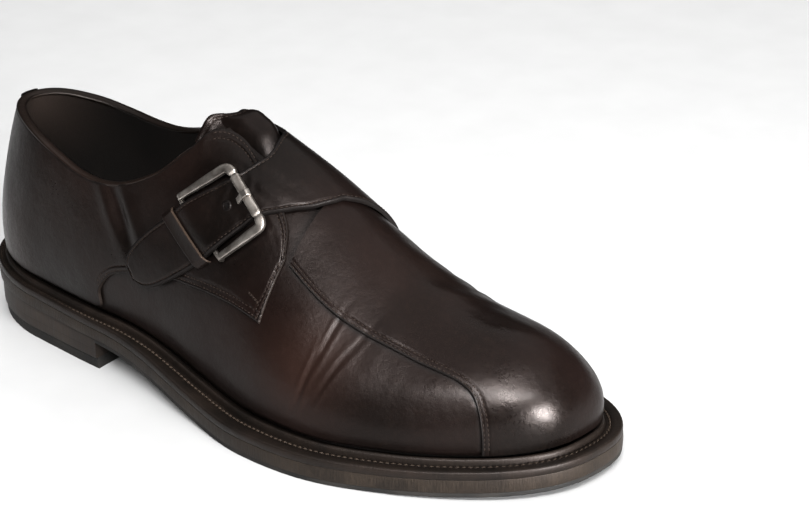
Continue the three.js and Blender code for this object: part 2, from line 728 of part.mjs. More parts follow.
// The tongue lies under the wall. Its free end arches up through the throat's slot,
// behind the strap's rear edge, and falls again under the strap.
function tongue() {
  const place = (share, over) => {
    const round = mix(-0.34, 0.34, over);
    const free = 0.456 - 0.016 * smooth(-round, 0.02, 0.2) + 0.008 * smooth(round, 0.1, 0.34);
    return { along: mix(free, 0.575, share), round };
  };
  const arch = (share, over) => {
    const { along, round } = place(share, over);
    const lip = tongueLip * (1 - smooth(share, 0.02, 0.13)) * (1 - smooth(Math.abs(round), 0.2, 0.31));
    const rear = strapRear(round);
    const rises = smooth(share, -0.09, 0.18);
    const falls = 1 - smooth(along, rear - 0.02, rear + 0.026);
    const across = clamp(1 - ((round - tongueCrest) / tongueReach) ** 2);
    return Math.max(tongueRise * rises * falls * across, lip);
  };
  return sheet(16, 10, place, (share, over) => ({
    low: -wall - 2 * layGap - tongueThickness + arch(share, over),
    thick: tongueThickness,
  }));
}

// A narrow strip over the back seam, from the welt to the collar.
function backStrip() {
  const place = (share, over) => {
    const side = share < 0.5 ? -1 : 1;
    const along = stripShare * Math.abs(2 * share - 1);
    const top = Math.abs(roundAtCollar(along, side, quarterHigh));
    return { along, round: side * mix(0.985, top, over) };
  };
  return turned(sheet(6, 10, place, () => ({ low: quarterHigh + layGap, thick: stripThickness })));
}

// A point on the outer side inside the buckle's four corners: across runs from the
// top arm to the lower arm, ahead from the hinge bar to the front bar.
function onBuckle(across, ahead) {
  const blend = (name) => {
    const back = mix(buckle.highBack[name], buckle.lowBack[name], across);
    const front = mix(buckle.highFront[name], buckle.lowFront[name], across);
    return mix(back, front, ahead);
  };
  return { along: blend('along'), round: blend('round') };
}

const strapTop = quarterHigh + layGap + strapThickness;
const frontBarLevel = strapTop + 1.5 * clearance + frameHeight / 2;
const hingeBarLevel = quarterHigh + clearance + hingeThickness / 2;

// A point of the buckle's straight frame: its four corners stand at that level over
// the last, and the bars run straight between them.
function onFrame(across, ahead, level) {
  const corner = ({ along, round }) => lay(along, round, level);
  const back = corner(buckle.highBack).lerp(corner(buckle.lowBack), across);
  const front = corner(buckle.highFront).lerp(corner(buckle.lowFront), across);
  return back.lerp(front, ahead);
}

// A bar swept along a way: its middle point, upward direction and section at each step.
function sweep(steps, way, closed) {
  const ring = 6;
  const points = [];
  const middles = [];
  for (let i = 0; i < steps; i += 1) middles.push(way(closed ? i / steps : i / (steps - 1)));
  for (let i = 0; i < steps; i += 1) {
    const { wide, high } = middles[i];
    const next = middles[closed ? (i + 1) % steps : Math.min(i + 1, steps - 1)].point;
    const previous = middles[closed ? (i + steps - 1) % steps : Math.max(i - 1, 0)].point;
    const run = next.clone().sub(previous).normalize();
    const sideways = run.clone().cross(middles[i].up).normalize();
    const up = sideways.clone().cross(run).normalize();
    for (let k = 0; k < ring; k += 1) {
      const angle = 2 * Math.PI * (k + 0.5) / ring;
      const offset = sideways.clone().multiplyScalar(Math.cos(angle) * wide / 2);
      offset.addScaledVector(up, Math.sin(angle) * high / 2 / Math.cos(Math.PI / ring));
      points.push(middles[i].point.clone().add(offset));
    }
  }
  const faces = [];
  const last = closed ? steps : steps - 1;
  for (let i = 0; i < last; i += 1) {
    const j = (i + 1) % steps;
    for (let k = 0; k < ring; k += 1) {
      const l = (k + 1) % ring;
      faces.push([i * ring + k, i * ring + l, j * ring + l, j * ring + k]);
    }
  }
  if (!closed) {
    const end = (steps - 1) * ring;
    for (let k = 1; k < ring - 1; k += 1) {
      faces.push([0, k + 1, k], [end, end + k, end + k + 1]);
    }
  }
  return solid(points, faces);
}

// The buckle's frame: front bar and two arms over the strap's edges, and a thin
// hinge bar that passes under the strap at the back.
function buckleFrame() {
  const corner = 0.14;
  const path = new THREE.Path();
  path.moveTo(0.5, 1);
  path.lineTo(corner, 1);
  path.quadraticCurveTo(0, 1, 0, 1 - corner);
  path.lineTo(0, 0.06);
  path.quadraticCurveTo(0, 0, 0.06, 0);
  path.lineTo(0.94, 0);
  path.quadraticCurveTo(1, 0, 1, 0.06);
  path.lineTo(1, 1 - corner);
  path.quadraticCurveTo(1, 1, 1 - corner, 1);
  path.lineTo(0.5, 1);
  return turned(sweep(44, (share) => {
    const p = path.getPointAt(share);
    const ends = clamp((p.y - 0.02) / 0.07);
    const { along, round } = onBuckle(p.x, p.y);
    return {
      point: lay(along, round, hingeBarLevel).lerp(onFrame(p.x, p.y, frontBarLevel), ends),
      up: lastNormal(along, round),
      wide: mix(hingeThickness, frameWidth, ends),
      high: mix(hingeThickness, frameHeight, ends),
    };
  }, true));
}

// The prong wraps the front bar and its tip goes down into the strap's hole.
function buckleProng() {
  const lift = frontBarLevel + (frameHeight + prongThickness) / 2 + clearance;
  const fall = lift - strapTop - 2 * clearance - 0.6 * prongThickness;
  return turned(sweep(7, (share) => {
    const ahead = mix(1.06, 0.78, share);
    const { along, round } = onBuckle(0.5, ahead);
    return {
      point: onFrame(0.5, ahead, lift - fall * clamp((share - 0.4) / 0.6) ** 2),
      up: lastNormal(along, round),
      wide: prongWidth,
      high: prongThickness,
    };
  }, false));
}

// The keeper: a leather band square over the strap behind the buckle, that comes
// down past both of its edges.
function keeper() {
  const ribbon = rails(innerQuarterTable, 1, quarterHigh);
  const ribbonLength = 0.8 * soleLength;
  const past = 0.085;
  const ribbonShare = (over) => keeperShare + (0.5 - over) * keeperWidth / ribbonLength;
  const place = (share, over) => ribbon(ribbonShare(over), mix(1 + past, -past, share));
  const onStrap = (over) => ribbonLow(ribbonShare(over)) + strapThickness + layGap;
  const crown = (share) => clamp(Math.min(share, 1 - share) / past) ** 0.5;
  return sheet(14, 3, place, (share, over) => ({
    low: mix(quarterHigh + layGap, onStrap(over), crown(share)),
    thick: keeperThickness,
  }));
}

// Middle of the sole's width, so that the model stands over its own centre.
function middleOfWidth() {
  const reach = wayRound(200).map(({ along, side }) => soleEdge(along, side).y);
  return (Math.min(...reach) + Math.max(...reach)) / 2;
}

const shoe = new THREE.Group();
shoe.position.set(-soleLength / 2, -middleOfWidth(), 0);

function add(name, geometry, finish) {
  const mesh = new THREE.Mesh(geometry, finish);
  mesh.name = name;
  shoe.add(mesh);
}

add('rubber_sole', rubberSole(), material.rubber);
add('outsole', outsole(), material.soleEdge);
add('top_lift', topLift(), material.rubber);
add('heel_stack', heelStack(), material.soleEdge);
add('welt', welt(), material.soleEdge);
add('insole', insole(), material.lining);
add('upper', upper(), material.leather);
add('tongue', tongue(), material.leather);
add('outer_quarter', outerQuarter(), material.leather);
add('inner_quarter_strap', innerQuarterAndStrap(), material.leather);
add('vamp_panel', vampPanel(), material.leather);
add('back_strip', backStrip(), material.leather);
add('strap_keeper', keeper(), material.leather);
add('buckle_frame', buckleFrame(), material.metal);
add('buckle_prong', buckleProng(), material.metal);

export default shoe;
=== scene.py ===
import bpy
import bmesh
import math
from types import SimpleNamespace
import numpy as np
from mathutils import Matrix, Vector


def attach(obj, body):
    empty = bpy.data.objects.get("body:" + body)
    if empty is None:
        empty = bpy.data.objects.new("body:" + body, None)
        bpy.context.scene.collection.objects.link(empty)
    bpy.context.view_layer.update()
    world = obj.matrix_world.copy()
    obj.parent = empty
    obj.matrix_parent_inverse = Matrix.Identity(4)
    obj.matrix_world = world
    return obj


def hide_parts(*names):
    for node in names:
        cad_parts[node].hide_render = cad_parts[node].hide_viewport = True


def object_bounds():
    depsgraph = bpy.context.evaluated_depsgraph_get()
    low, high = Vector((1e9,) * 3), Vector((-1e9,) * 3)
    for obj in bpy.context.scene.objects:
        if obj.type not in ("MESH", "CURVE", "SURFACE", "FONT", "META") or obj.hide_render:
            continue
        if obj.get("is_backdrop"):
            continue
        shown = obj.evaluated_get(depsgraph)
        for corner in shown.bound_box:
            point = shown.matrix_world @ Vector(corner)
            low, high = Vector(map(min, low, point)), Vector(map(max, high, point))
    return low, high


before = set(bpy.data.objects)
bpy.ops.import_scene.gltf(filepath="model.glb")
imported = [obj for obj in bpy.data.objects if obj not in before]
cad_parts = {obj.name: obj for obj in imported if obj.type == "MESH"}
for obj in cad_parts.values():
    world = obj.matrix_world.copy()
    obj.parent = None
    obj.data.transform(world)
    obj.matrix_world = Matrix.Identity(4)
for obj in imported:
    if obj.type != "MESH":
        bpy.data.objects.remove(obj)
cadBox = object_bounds()
print("frame loaded")

# The shoe's own sizes in mm, as in the part: x from heel to toe, y to the inner side.
shoe = SimpleNamespace(
    length=304, ball=108, heelWidth=72, collar=88.5, instep=106.5, toeBox=51,
    heelHeight=12, heelRise=1.9, heelLength=90, topLift=4.5, breastHollow=2.5,
    toeSpring=3.8, rubber=1.6, outsole=5, welt=3.15, waistThinning=0.9,
    heelRound=48, heelPower=1.95, toeRound=74.5, toePower=2.46,
    bead=2.3, beadWidth=2.4, tuck=9, insole=3, gap=0.3, layGap=0.4, panelGap=0.5,
    wall=2.2, overlay=1.2, strap=1.8, tongue=2, panel=0.9, keeper=1.2, strip=1,
    heelPivot=46, toePivot=42, throatFront=174, throatHalf=8.5, slotStart=0.25, vampStart=0.55,
    tongueRise=6.6, tongueCrest=0.05, tongueReach=0.21, tongueLip=1.2,
    waistScale=1.5, spreadStart=0.25, spreadRun=0.35, archEnd=0.6, springStart=0.7, waistHalf=0.3,
    swellTop=0.66, swellScale=8.1, swellPower=2.5,
)

soleTable = np.array([  # share of the length, outer and inner half width, centre line
    (0.00, 0.630, 0.667, 0.000), (0.12, 0.667, 0.685, 0.000), (0.25, 0.730, 0.639, 0.000),
    (0.38, 0.785, 0.546, 0.000), (0.50, 0.900, 0.619, 0.000), (0.62, 1.015, 0.861, 0.000),
    (0.72, 1.020, 0.978, 0.017), (0.82, 0.911, 0.976, 0.051), (0.91, 0.824, 0.902, 0.094),
    (1.00, 0.763, 0.800, 0.137),
])
shelfTable = np.array([  # share, outer and inner distance from the sole's edge to the upper
    (0.00, 5.2, 5.2), (0.15, 5.2, 5.2), (0.30, 6.5, 6.0), (0.42, 9.0, 7.0),
    (0.55, 10.0, 8.5), (0.75, 9.5, 9.5), (1.00, 9.0, 9.0),
])
ridgeTable = np.array([  # share, height, sideways place, squareness of the section
    (0.000, 1.190, 0.000, 1.87), (0.200, 1.190, 0.000, 1.87), (0.330, 1.160, 0.000, 1.95),
    (0.411, 1.099, 0.000, 1.95), (0.493, 1.000, 0.000, 1.90), (0.576, 0.887, 0.000, 1.85),
    (0.658, 0.746, 0.018, 1.75), (0.730, 0.610, 0.037, 1.85),
    (0.806, 1.078, 0.065, 2.10), (0.882, 1.000, 0.083, 2.40), (1.000, 0.882, 0.102, 2.50),
]) * (1, 1, shoe.ball, 1)
ridgeTable[:8, 1] *= shoe.instep
ridgeTable[8:, 1] *= shoe.toeBox
swellTable = np.array([  # share, how far the section swells past its superellipse
    (0.00, 1.3), (0.08, 1.5), (0.25, 2.2), (0.40, 2.8), (0.55, 2.5), (0.85, 2.2), (1.00, 1.8),
])
collarTable = np.array([  # share, outer and inner height
    (0.00, 1.000, 1.000), (0.05, 1.005, 1.005), (0.10, 1.000, 0.965), (0.15, 0.975, 0.920),
    (0.20, 0.930, 0.905), (0.25, 0.892, 0.915), (0.30, 0.888, 0.960), (0.33, 0.906, 1.000),
    (0.37, 0.960, 1.060), (0.40, 1.020, 1.110), (0.43, 1.115, 1.160), (0.46, 1.200, 1.210),
    (0.50, 1.300, 1.300),
])
atCollar = 9  # stands for a row's upper end that follows the collar
outerQuarterTable = np.array([  # low along, low round, high along, high round
    (0.004, -0.985, 0.004, atCollar), (0.090, -0.985, 0.100, atCollar), (0.180, -0.985, 0.180, atCollar),
    (0.270, -0.985, 0.250, atCollar), (0.340, -0.985, 0.310, atCollar), (0.368, -0.98, 0.340, atCollar),
    (0.372, -0.93, 0.360, atCollar), (0.388, -0.875, 0.380, atCollar), (0.415, -0.835, 0.400, atCollar),
    (0.450, -0.780, 0.425, atCollar), (0.485, -0.735, 0.445, atCollar), (0.515, -0.700, 0.462, -0.205),
    (0.535, -0.680, 0.490, -0.150), (0.552, -0.668, 0.525, -0.195), (0.566, -0.662, 0.571, -0.290),
    (0.574, -0.660, 0.584, -0.415),
])
innerQuarterTable = np.array([
    (0.004, 0.985, 0.004, atCollar), (0.090, 0.985, 0.090, atCollar), (0.180, 0.985, 0.170, atCollar),
    (0.270, 0.985, 0.240, atCollar), (0.340, 0.985, 0.300, atCollar), (0.368, 0.98, 0.330, atCollar),
    (0.372, 0.93, 0.350, atCollar), (0.388, 0.875, 0.370, atCollar), (0.415, 0.835, 0.390, atCollar),
    (0.460, 0.765, 0.410, atCollar), (0.515, 0.700, 0.430, atCollar), (0.574, 0.660, 0.452, 0.300),
    (0.592, 0.500, 0.480, 0.210), (0.604, 0.305, 0.505, 0.120), (0.613, 0.030, 0.521, -0.060),
    (0.596, -0.140, 0.523, -0.140), (0.573, -0.250, 0.516, -0.220), (0.546, -0.360, 0.505, -0.310),
    (0.528, -0.470, 0.486, -0.420), (0.512, -0.565, 0.466, -0.520), (0.496, -0.640, 0.450, -0.600),
    (0.473, -0.730, 0.431, -0.680), (0.452, -0.800, 0.418, -0.740), (0.437, -0.832, 0.412, -0.780),
    (0.422, -0.840, 0.412, -0.815),
])
ribbonLevelTable = np.array([
    (0.00, 0), (0.44, 0), (0.54, 1), (0.73, 1), (0.795, 1.7), (0.84, 1), (0.90, 1), (1.00, 1),
])
vampPanelTable = np.array([  # outer along, outer round, inner along, inner round, middle
    (0.590, -0.425, 0.607, 0.425, 0.602), (0.631, -0.445, 0.642, 0.430, 0.645),
    (0.683, -0.445, 0.690, 0.430, 0.710), (0.736, -0.455, 0.742, 0.440, 0.790),
    (0.788, -0.510, 0.792, 0.500, 0.900), (0.813, -0.590, 0.815, 0.590, 1.060),
    (0.821, -0.710, 0.823, 0.710, 1.400), (0.823, -0.850, 0.826, 0.850, 1.700),
    (0.823, -0.990, 0.826, 0.990, 1.985),
])
buckleCorners = dict(  # along and around
    highFront=(0.498, -0.300), lowFront=(0.556, -0.372),
    lowBack=(0.518, -0.585), highBack=(0.457, -0.535),
)


def mix(a, b, t):  # a plus t times the way to b
    return a + (b - a) * t


def clamp(value, low=0.0, high=1.0):  # no less than low, no more than high
    return np.clip(value, low, high)


def bump(value, middle, width):  # a soft hill: e to the minus square of the distance
    return np.exp(-((value - middle) / width) ** 2)


def smooth(value, low, high):  # 0 before low, 1 after high, and a soft ramp between
    t = clamp((value - low) / (high - low))
    return t * t * (3 - 2 * t)


def read(table, column, share):
    # a smooth curve through a column: cubic pieces with slopes weighted by step
    at, value = table[:, 0], table[:, column]
    rise = np.diff(value) / np.diff(at)
    step = np.diff(at)
    slope = np.empty_like(value)
    slope[0], slope[-1] = rise[0], rise[-1]
    slope[1:-1] = (rise[:-1] * step[1:] + rise[1:] * step[:-1]) / (step[1:] + step[:-1])
    share = np.asarray(share, float)
    k = np.clip(np.searchsorted(at, share, side="left") - 1, 0, len(at) - 2)
    t = (share - at[k]) / step[k]
    ramp = t * t * (3 - 2 * t)
    bend = t * (1 - t) ** 2 * step[k] * slope[k] + t * t * (t - 1) * step[k] * slope[k + 1]
    return mix(value[k], value[k + 1], ramp) + bend


def bySide(table, share, side):  # the outer column where side is below 0, else the inner
    return np.where(side < 0, read(table, 1, share), read(table, 2, share))


def lengthShare(along):  # close steps at heel and toe
    return (1 - np.cos(np.pi * along)) / 2


def soleEdge(along, side):
    # half width from the table times a rounded end at heel and toe
    share = lengthShare(along)
    x = shoe.length * share
    fromHeel = clamp((shoe.heelRound - x) / shoe.heelRound)
    fromToe = clamp((x - shoe.length + shoe.toeRound) / shoe.toeRound)
    heelCap = (1 - fromHeel ** shoe.heelPower) ** (1 / shoe.heelPower)
    toeCap = (1 - fromToe ** shoe.toePower) ** (1 / shoe.toePower)
    rising = clamp((share - shoe.spreadStart) / shoe.spreadRun)
    widest = mix(shoe.heelWidth * shoe.waistScale, shoe.ball, rising)
    half = bySide(soleTable, share, side) * widest * 0.5
    y = read(soleTable, 3, share) * shoe.ball + side * half * heelCap * toeCap
    return x, y


def insetEdge(along, side, distance):
    # the outline moved in by a distance, square to itself
    x, y = soleEdge(along, side)
    reach = 1e-3
    x0, y0 = soleEdge(np.maximum(along - reach, 0), side)
    x1, y1 = soleEdge(np.minimum(along + reach, 1), side)
    run = np.hypot(x1 - x0, y1 - y0)
    heel, toe = along < 1e-6, along > 1 - 1e-6
    nx = np.where(heel, 1, np.where(toe, -1, (y1 - y0) / run * side))
    ny = np.where(heel | toe, 0, -(x1 - x0) / run * side)
    return x + nx * distance, y + ny * distance


def soleBottom(x):
    # half a cosine wave from the heel down to the arch's end, and a squared toe spring
    share = x / shoe.length
    archRun = shoe.archEnd * shoe.length - shoe.heelLength
    arch = 0.5 + 0.5 * np.cos(np.pi * clamp((x - shoe.heelLength) / archRun))
    spring = shoe.toeSpring * clamp((share - shoe.springStart) / (1 - shoe.springStart)) ** 2
    return shoe.heelHeight * arch + spring + shoe.heelRise * (1 - clamp(share / shoe.waistHalf))


def waistCut(x):
    # up to the waist and down again, in straight lines
    half = x / shoe.length / shoe.waistHalf
    return shoe.waistThinning * clamp(half) * (1 - clamp(half - 1))


def weltTop(x):
    # all layers of the sole on one another
    return soleBottom(x) + shoe.rubber + shoe.outsole + shoe.welt + 2 * shoe.gap - waistCut(x)


def shelf(along, side):  # the welt's free width
    return bySide(shelfTable, lengthShare(along), side)


def lastPoint(along, around):
    # from the feather line to the ridge as a quarter of a superellipse, then the swell
    along, around = np.broadcast_arrays(np.asarray(along, float), np.asarray(around, float))
    side = np.where(around < 0, -1, 1)
    climb = clamp(1 - abs(around)) * np.pi / 2
    footX, footY = insetEdge(along, side, shelf(along, side))
    share = lengthShare(along)
    target = shoe.heelPivot + (shoe.length - shoe.toePivot - shoe.heelPivot) * share
    aside = read(ridgeTable, 2, target / shoe.length)
    power = 2 / read(ridgeTable, 3, target / shoe.length)
    inward = 1 - np.maximum(np.cos(climb), 0) ** power
    upward = np.maximum(np.sin(climb), 0) ** power
    x = mix(footX, target, inward)
    y = mix(footY, aside, inward)
    low = weltTop(footX) + shoe.bead + shoe.gap
    z = mix(low, read(ridgeTable, 1, x / shoe.length), upward)
    rise = clamp((z - low) / (shoe.swellTop * shoe.instep))
    swell = read(swellTable, 1, share) * shoe.swellScale * rise * (1 - rise) ** shoe.swellPower
    outX, outY = footX - target, footY - aside
    size = np.hypot(outX, outY)
    return np.stack([x + outX / size * swell, y + outY / size * swell, z], -1)


def unit(vector):  # each vector over its own length
    return vector / np.maximum(np.linalg.norm(vector, axis=-1, keepdims=True), 1e-12)


def lastNormal(along, around):
    # square to two short steps on the surface
    along, around = np.broadcast_arrays(np.asarray(along, float), np.asarray(around, float))

    def oneSided(around):
        reach = 2e-3
        middle = clamp(along, 2 * reach, 1 - 2 * reach)
        ahead = lastPoint(middle + reach, around) - lastPoint(middle - reach, around)
        above, below = np.minimum(around + reach, 1), np.maximum(around - reach, -1)
        over = lastPoint(along, above) - lastPoint(along, below)
        return unit(np.cross(ahead, over))
    normal = oneSided(around)
    ends = ((along < 1e-6) | (along > 1 - 1e-6))[..., None]
    return np.where(ends, unit(normal + oneSided(-around)), normal)


def lay(along, around, height):
    # a point of the last, that far off its surface
    return lastPoint(along, around) + lastNormal(along, around) * np.asarray(height, float)[..., None]


def collarZ(x, y):
    # the two sides' heights from the table, blended by a sine across the middle
    blend = 0.5 + 0.5 * np.sin(np.pi / 2 * clamp(y / (0.25 * shoe.heelWidth), -1, 1))
    share = x / shoe.length
    return shoe.collar * mix(read(collarTable, 1, share), read(collarTable, 2, share), blend)


def openingRound(along, side, height, throat=False):
    # where the collar (and the throat's slot) crosses each section, by halving
    along = np.asarray(along, float)
    low = np.ones_like(along)
    high = np.full_like(along, 0.0 if throat else 0.05)
    halvings = 26
    for step in range(halvings):
        middle = (low + high) / 2
        point = lay(along, side * middle, np.full_like(along, height))
        kept = point[..., 2] < collarZ(point[..., 0], point[..., 1]) - shoe.gap
        kept |= along > shoe.vampStart
        if throat:
            ahead = clamp(point[..., 0] - shoe.throatFront + shoe.throatHalf, 0, shoe.throatHalf)
            slot = np.sqrt(shoe.throatHalf ** 2 - ahead ** 2)
            outside = (point[..., 0] > shoe.throatFront) | (along < shoe.slotStart)
            slot = np.where(outside, -1, slot)
            kept &= abs(point[..., 1]) > slot
        low = np.where(kept, middle, low)
        high = np.where(kept, high, middle)
    return side * np.where(low < 1e-3, 0, low)


# The part's frame: its middle stands over the origin, in metres
wayAlong = np.linspace(0, 1, 201)
edgeY = np.concatenate([soleEdge(wayAlong, -1)[1], soleEdge(wayAlong, 1)[1]])
middleOfWidth = (edgeY.min() + edgeY.max()) / 2


def toModel(points):  # from mm and the heel's end to metres and the middle
    return (points - np.array([shoe.length / 2, middleOfWidth, 0])) / 1000


# Mesh building
def gridFaces(m, n, start=0, roundM=False, roundN=False, flip=False):
    # the quads of a grid whose points are numbered row by row
    i = np.arange(m if roundM else m - 1)[:, None]
    j = np.arange(n if roundN else n - 1)[None, :]
    i2, j2 = (i + 1) % m, (j + 1) % n
    quads = np.stack([i * n + j, i2 * n + j, i2 * n + j2, i * n + j2], -1).reshape(-1, 4) + start
    return quads[:, ::-1] if flip else quads


def makePiece(name, points, quads, material, slot, replaces=None, uv=None, raw=None, dark=None,
              sharp=40, merge=0.0, orient=True):
    # one closed mesh from points in mm and quads, turned so that its volume is positive
    points = toModel(np.asarray(points, float).reshape(-1, 3))
    quads = np.asarray(quads)
    if orient:
        a, b, c, d = (points[quads[:, k]] for k in range(4))
        volume = (a * np.cross(b, c)).sum() + (a * np.cross(c, d)).sum()
        if volume < 0:
            quads = quads[:, ::-1]
    mesh = bpy.data.meshes.new(name)
    mesh.vertices.add(len(points))
    mesh.vertices.foreach_set("co", points.astype(np.float32).ravel())
    mesh.loops.add(quads.size)
    mesh.loops.foreach_set("vertex_index", quads.astype(np.int32).ravel())
    mesh.polygons.add(len(quads))
    mesh.polygons.foreach_set("loop_start", np.arange(0, quads.size, 4, dtype=np.int32))
    mesh.polygons.foreach_set("use_smooth", np.ones(len(quads), bool))
    if uv is not None:
        layer = mesh.uv_layers.new(name="UVMap")
        layer.data.foreach_set("uv", np.asarray(uv, np.float32).reshape(-1, 2)[quads.ravel()].ravel())
    for label, values in (("rawEdge", raw), ("edgeDyeAndShade", dark)):
        if values is not None:
            mark = mesh.attributes.new(label, "FLOAT", "POINT")
            mark.data.foreach_set("value", np.asarray(values, np.float32).ravel())
    mesh.update(calc_edges=True)
    mesh.validate()
    if merge > 0:
        work = bmesh.new()
        work.from_mesh(mesh)
        bmesh.ops.remove_doubles(work, verts=work.verts, dist=merge)
        bmesh.ops.dissolve_degenerate(work, edges=work.edges, dist=1e-7)
        work.to_mesh(mesh)
        work.free()
    mesh.set_sharp_from_angle(angle=math.radians(sharp))
    mesh.materials.append(material)
    piece = bpy.data.objects.new(name, mesh)
    bpy.context.scene.collection.objects.link(piece)
    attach(piece, "root")
    if replaces:
        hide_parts(replaces)
    return piece


def alongLine(points, axis):
    # distance run along each grid line, starting at 0
    step = np.linalg.norm(np.diff(points, axis=axis), axis=-1)
    zero = np.zeros_like(np.take(step, [0], axis=axis))
    return np.concatenate([zero, np.cumsum(step, axis=axis)], axis=axis)


def spread(count, length, border, steps=(0, 0.12, 0.35, 0.7, 1.2)):
    # shares of a line: close steps in mm at both ends, even ones between
    near = np.array(steps)[None, :] * border / np.maximum(length[:, None], 1e-3)
    near = np.minimum(near, 0.3)
    inner = mix(near[:, -1:], 1 - near[:, -1:], np.linspace(0, 1, count)[None, :])
    return np.concatenate([near[:, :-1], inner, (1 - near[:, :-1])[:, ::-1]], axis=1)


def sheetSolid(top, bottom):
    # two grids with the same steps, closed by a strip along each border
    m, n = top.shape[:2]
    points = np.concatenate([top.reshape(-1, 3), bottom.reshape(-1, 3)])
    index = np.arange(m * n).reshape(m, n)
    walls = []
    for line in (index[0], index[::-1, 0], index[-1, ::-1], index[:, -1]):
        walls.append(np.stack([line[:-1], line[1:], line[1:] + m * n, line[:-1] + m * n], -1))
    quads = np.concatenate([gridFaces(m, n), gridFaces(m, n, m * n, flip=True)] + walls)
    return points, quads


def borderDistances(points):
    # distance in mm of each grid point from the four borders, along the grid lines
    downU, downV = alongLine(points, 0), alongLine(points, 1)
    return dict(u0=downU, u1=downU[-1:] - downU, v0=downV, v1=downV[:, -1:] - downV)


def laidSheet(name, place, low, thick, m, n, replaces, borders="u0 u1 v0 v1", rounding=0.9,
              relief=None, edgeLip=0.3, raw=0.03):
    # leather laid on the last: its top falls to a rounded edge at each named border
    ways = np.linspace(0, 1, 60)
    coarse = lastPoint(*place(*np.meshgrid(ways, np.linspace(0, 1, 16), indexing="ij")))
    runLength = alongLine(coarse, 0)[-1].mean()
    shareU = spread(m, np.array([runLength]), rounding)[0]
    shareV = spread(n, np.interp(shareU, ways, alongLine(coarse, 1)[:, -1]), rounding)
    along, around = place(shareU[:, None] + 0 * shareV, shareV)
    distance = borderDistances(lastPoint(along, around))
    fall = np.ones_like(along)
    nearest = np.full_like(along, 99.0)
    for border in borders.split():
        near = clamp(distance[border] / rounding)
        fall = fall * np.sqrt(1 - (1 - near) ** 2)
        nearest = np.minimum(nearest, distance[border])
    under = low(shareU)[:, None] + 0 * along
    depth = thick(shareU)[:, None] * mix(edgeLip, 1, fall)
    over = under + depth + (relief(along, around, distance, shareU[:, None]) if relief else 0)
    normal = lastNormal(along, around)
    base = lastPoint(along, around)
    top = base + normal * over[..., None]
    bottom = base + normal * under[..., None]
    points, quads = sheetSolid(top, bottom)
    uv = np.stack([alongLine(top, 0), alongLine(top, 1)], -1) / 1000
    rawEdge = raw * (1 - smooth(nearest, 0.15, 0.55))
    # dark band along the borders: partly the edges' dyed, burnished colour, partly painted shade
    edgeDyeAndShade = (1 - raw) * (1 - smooth(nearest, 0.5, 1.5))
    makePiece(name, points, quads, leather, "upper_leather", replaces, np.tile(uv.reshape(-1, 2), (2, 1)),
              np.tile(rawEdge.ravel(), 2), np.tile(edgeDyeAndShade.ravel(), 2))
    return dict(top=top, normal=normal, distance=distance, share=shareU)


def rowAt(sheet, border, offset, first=0.0, last=1.0):
    # a line of the sheet that runs offset mm inside one border
    axis = 1 if border[0] == "v" else 0
    grids = sheet["distance"][border], sheet["top"], sheet["normal"]
    distance, top, normal = (np.moveaxis(grid, axis, 1) for grid in grids)
    if border[1] == "1":
        distance, top, normal = distance[:, ::-1], top[:, ::-1], normal[:, ::-1]
    k = np.clip((distance < offset).sum(1) - 1, 0, distance.shape[1] - 2)
    row = np.arange(len(k))
    t = (offset - distance[row, k]) / np.maximum(distance[row, k + 1] - distance[row, k], 1e-9)
    point = mix(top[row, k], top[row, k + 1], clamp(t)[:, None])
    count = len(point)
    keep = slice(int(first * (count - 1)), int(last * (count - 1)) + 1)
    return point[keep], normal[row, k][keep]


def trimmed(path, start, end):  # a path in mm cut by that much at its two ends
    point, normal = path
    run = alongLine(point, 0)
    keep = (run >= start) & (run <= run[-1] - end)
    return point[keep], normal[keep]


def stitchRow(path, pitch=1.9, length=1.35, width=0.42, lift=0.05, slant=0.0):
    # short threads along a path: each is a thin bead whose ends dip into the leather
    point, normal = path
    run = alongLine(point, 0)
    middle = np.arange(0.5, int(run[-1] / pitch)) * pitch
    at = lambda values, where: np.stack([np.interp(where, run, values[:, k]) for k in range(3)], -1)
    centre, up = at(point, middle), unit(at(normal, middle))
    ahead = unit(at(point, middle + 0.3) - at(point, middle - 0.3))
    side = unit(np.cross(up, ahead))
    ahead = unit(ahead + slant * side)
    side = unit(np.cross(up, ahead))
    station = np.array([-0.5, -0.36, 0.0, 0.36, 0.5])
    girth = np.array([0.25, 0.85, 1.0, 0.85, 0.25]) * width / 2
    dip = lift - 1.6 * width * abs(station) ** 2
    angle = np.arange(6) * np.pi / 3
    shape = (centre[:, None, None] + ahead[:, None, None] * (station * length)[None, :, None, None]
             + side[:, None, None] * (girth[:, None] * np.cos(angle))[None, :, :, None]
             + up[:, None, None] * (dip[:, None] + girth[:, None] * np.sin(angle))[None, :, :, None])
    tube = gridFaces(5, 6, roundN=True)
    ends = np.array([(0, 3, 2, 1), (0, 5, 4, 3), (24, 25, 26, 27), (24, 27, 28, 29)])
    one = np.concatenate([tube, ends[:2, ::-1], ends[2:, ::-1]])
    quads = (one[None] + np.arange(len(middle))[:, None, None] * 30).reshape(-1, 4)
    return shape.reshape(-1, 3), quads


def sewTogether(name, rows, material, slot):  # all rows of thread as one piece
    points, quads, start = [], [], 0
    for shape, faces in rows:
        points.append(shape)
        quads.append(faces + start)
        start += len(shape)
    return makePiece(name, np.concatenate(points), np.concatenate(quads), material, slot, sharp=70)


def throughPoints(places, height, count=160):
    # a smooth line over the last through given places (along, around)
    places = np.array(places, float)
    at = np.linspace(0, 1, len(places))
    share = np.linspace(0, 1, count)
    along = read(np.column_stack([at, places[:, 0]]), 1, share)
    around = read(np.column_stack([at, places[:, 1]]), 1, share)
    return lay(along, around, np.full(count, height)), lastNormal(along, around)


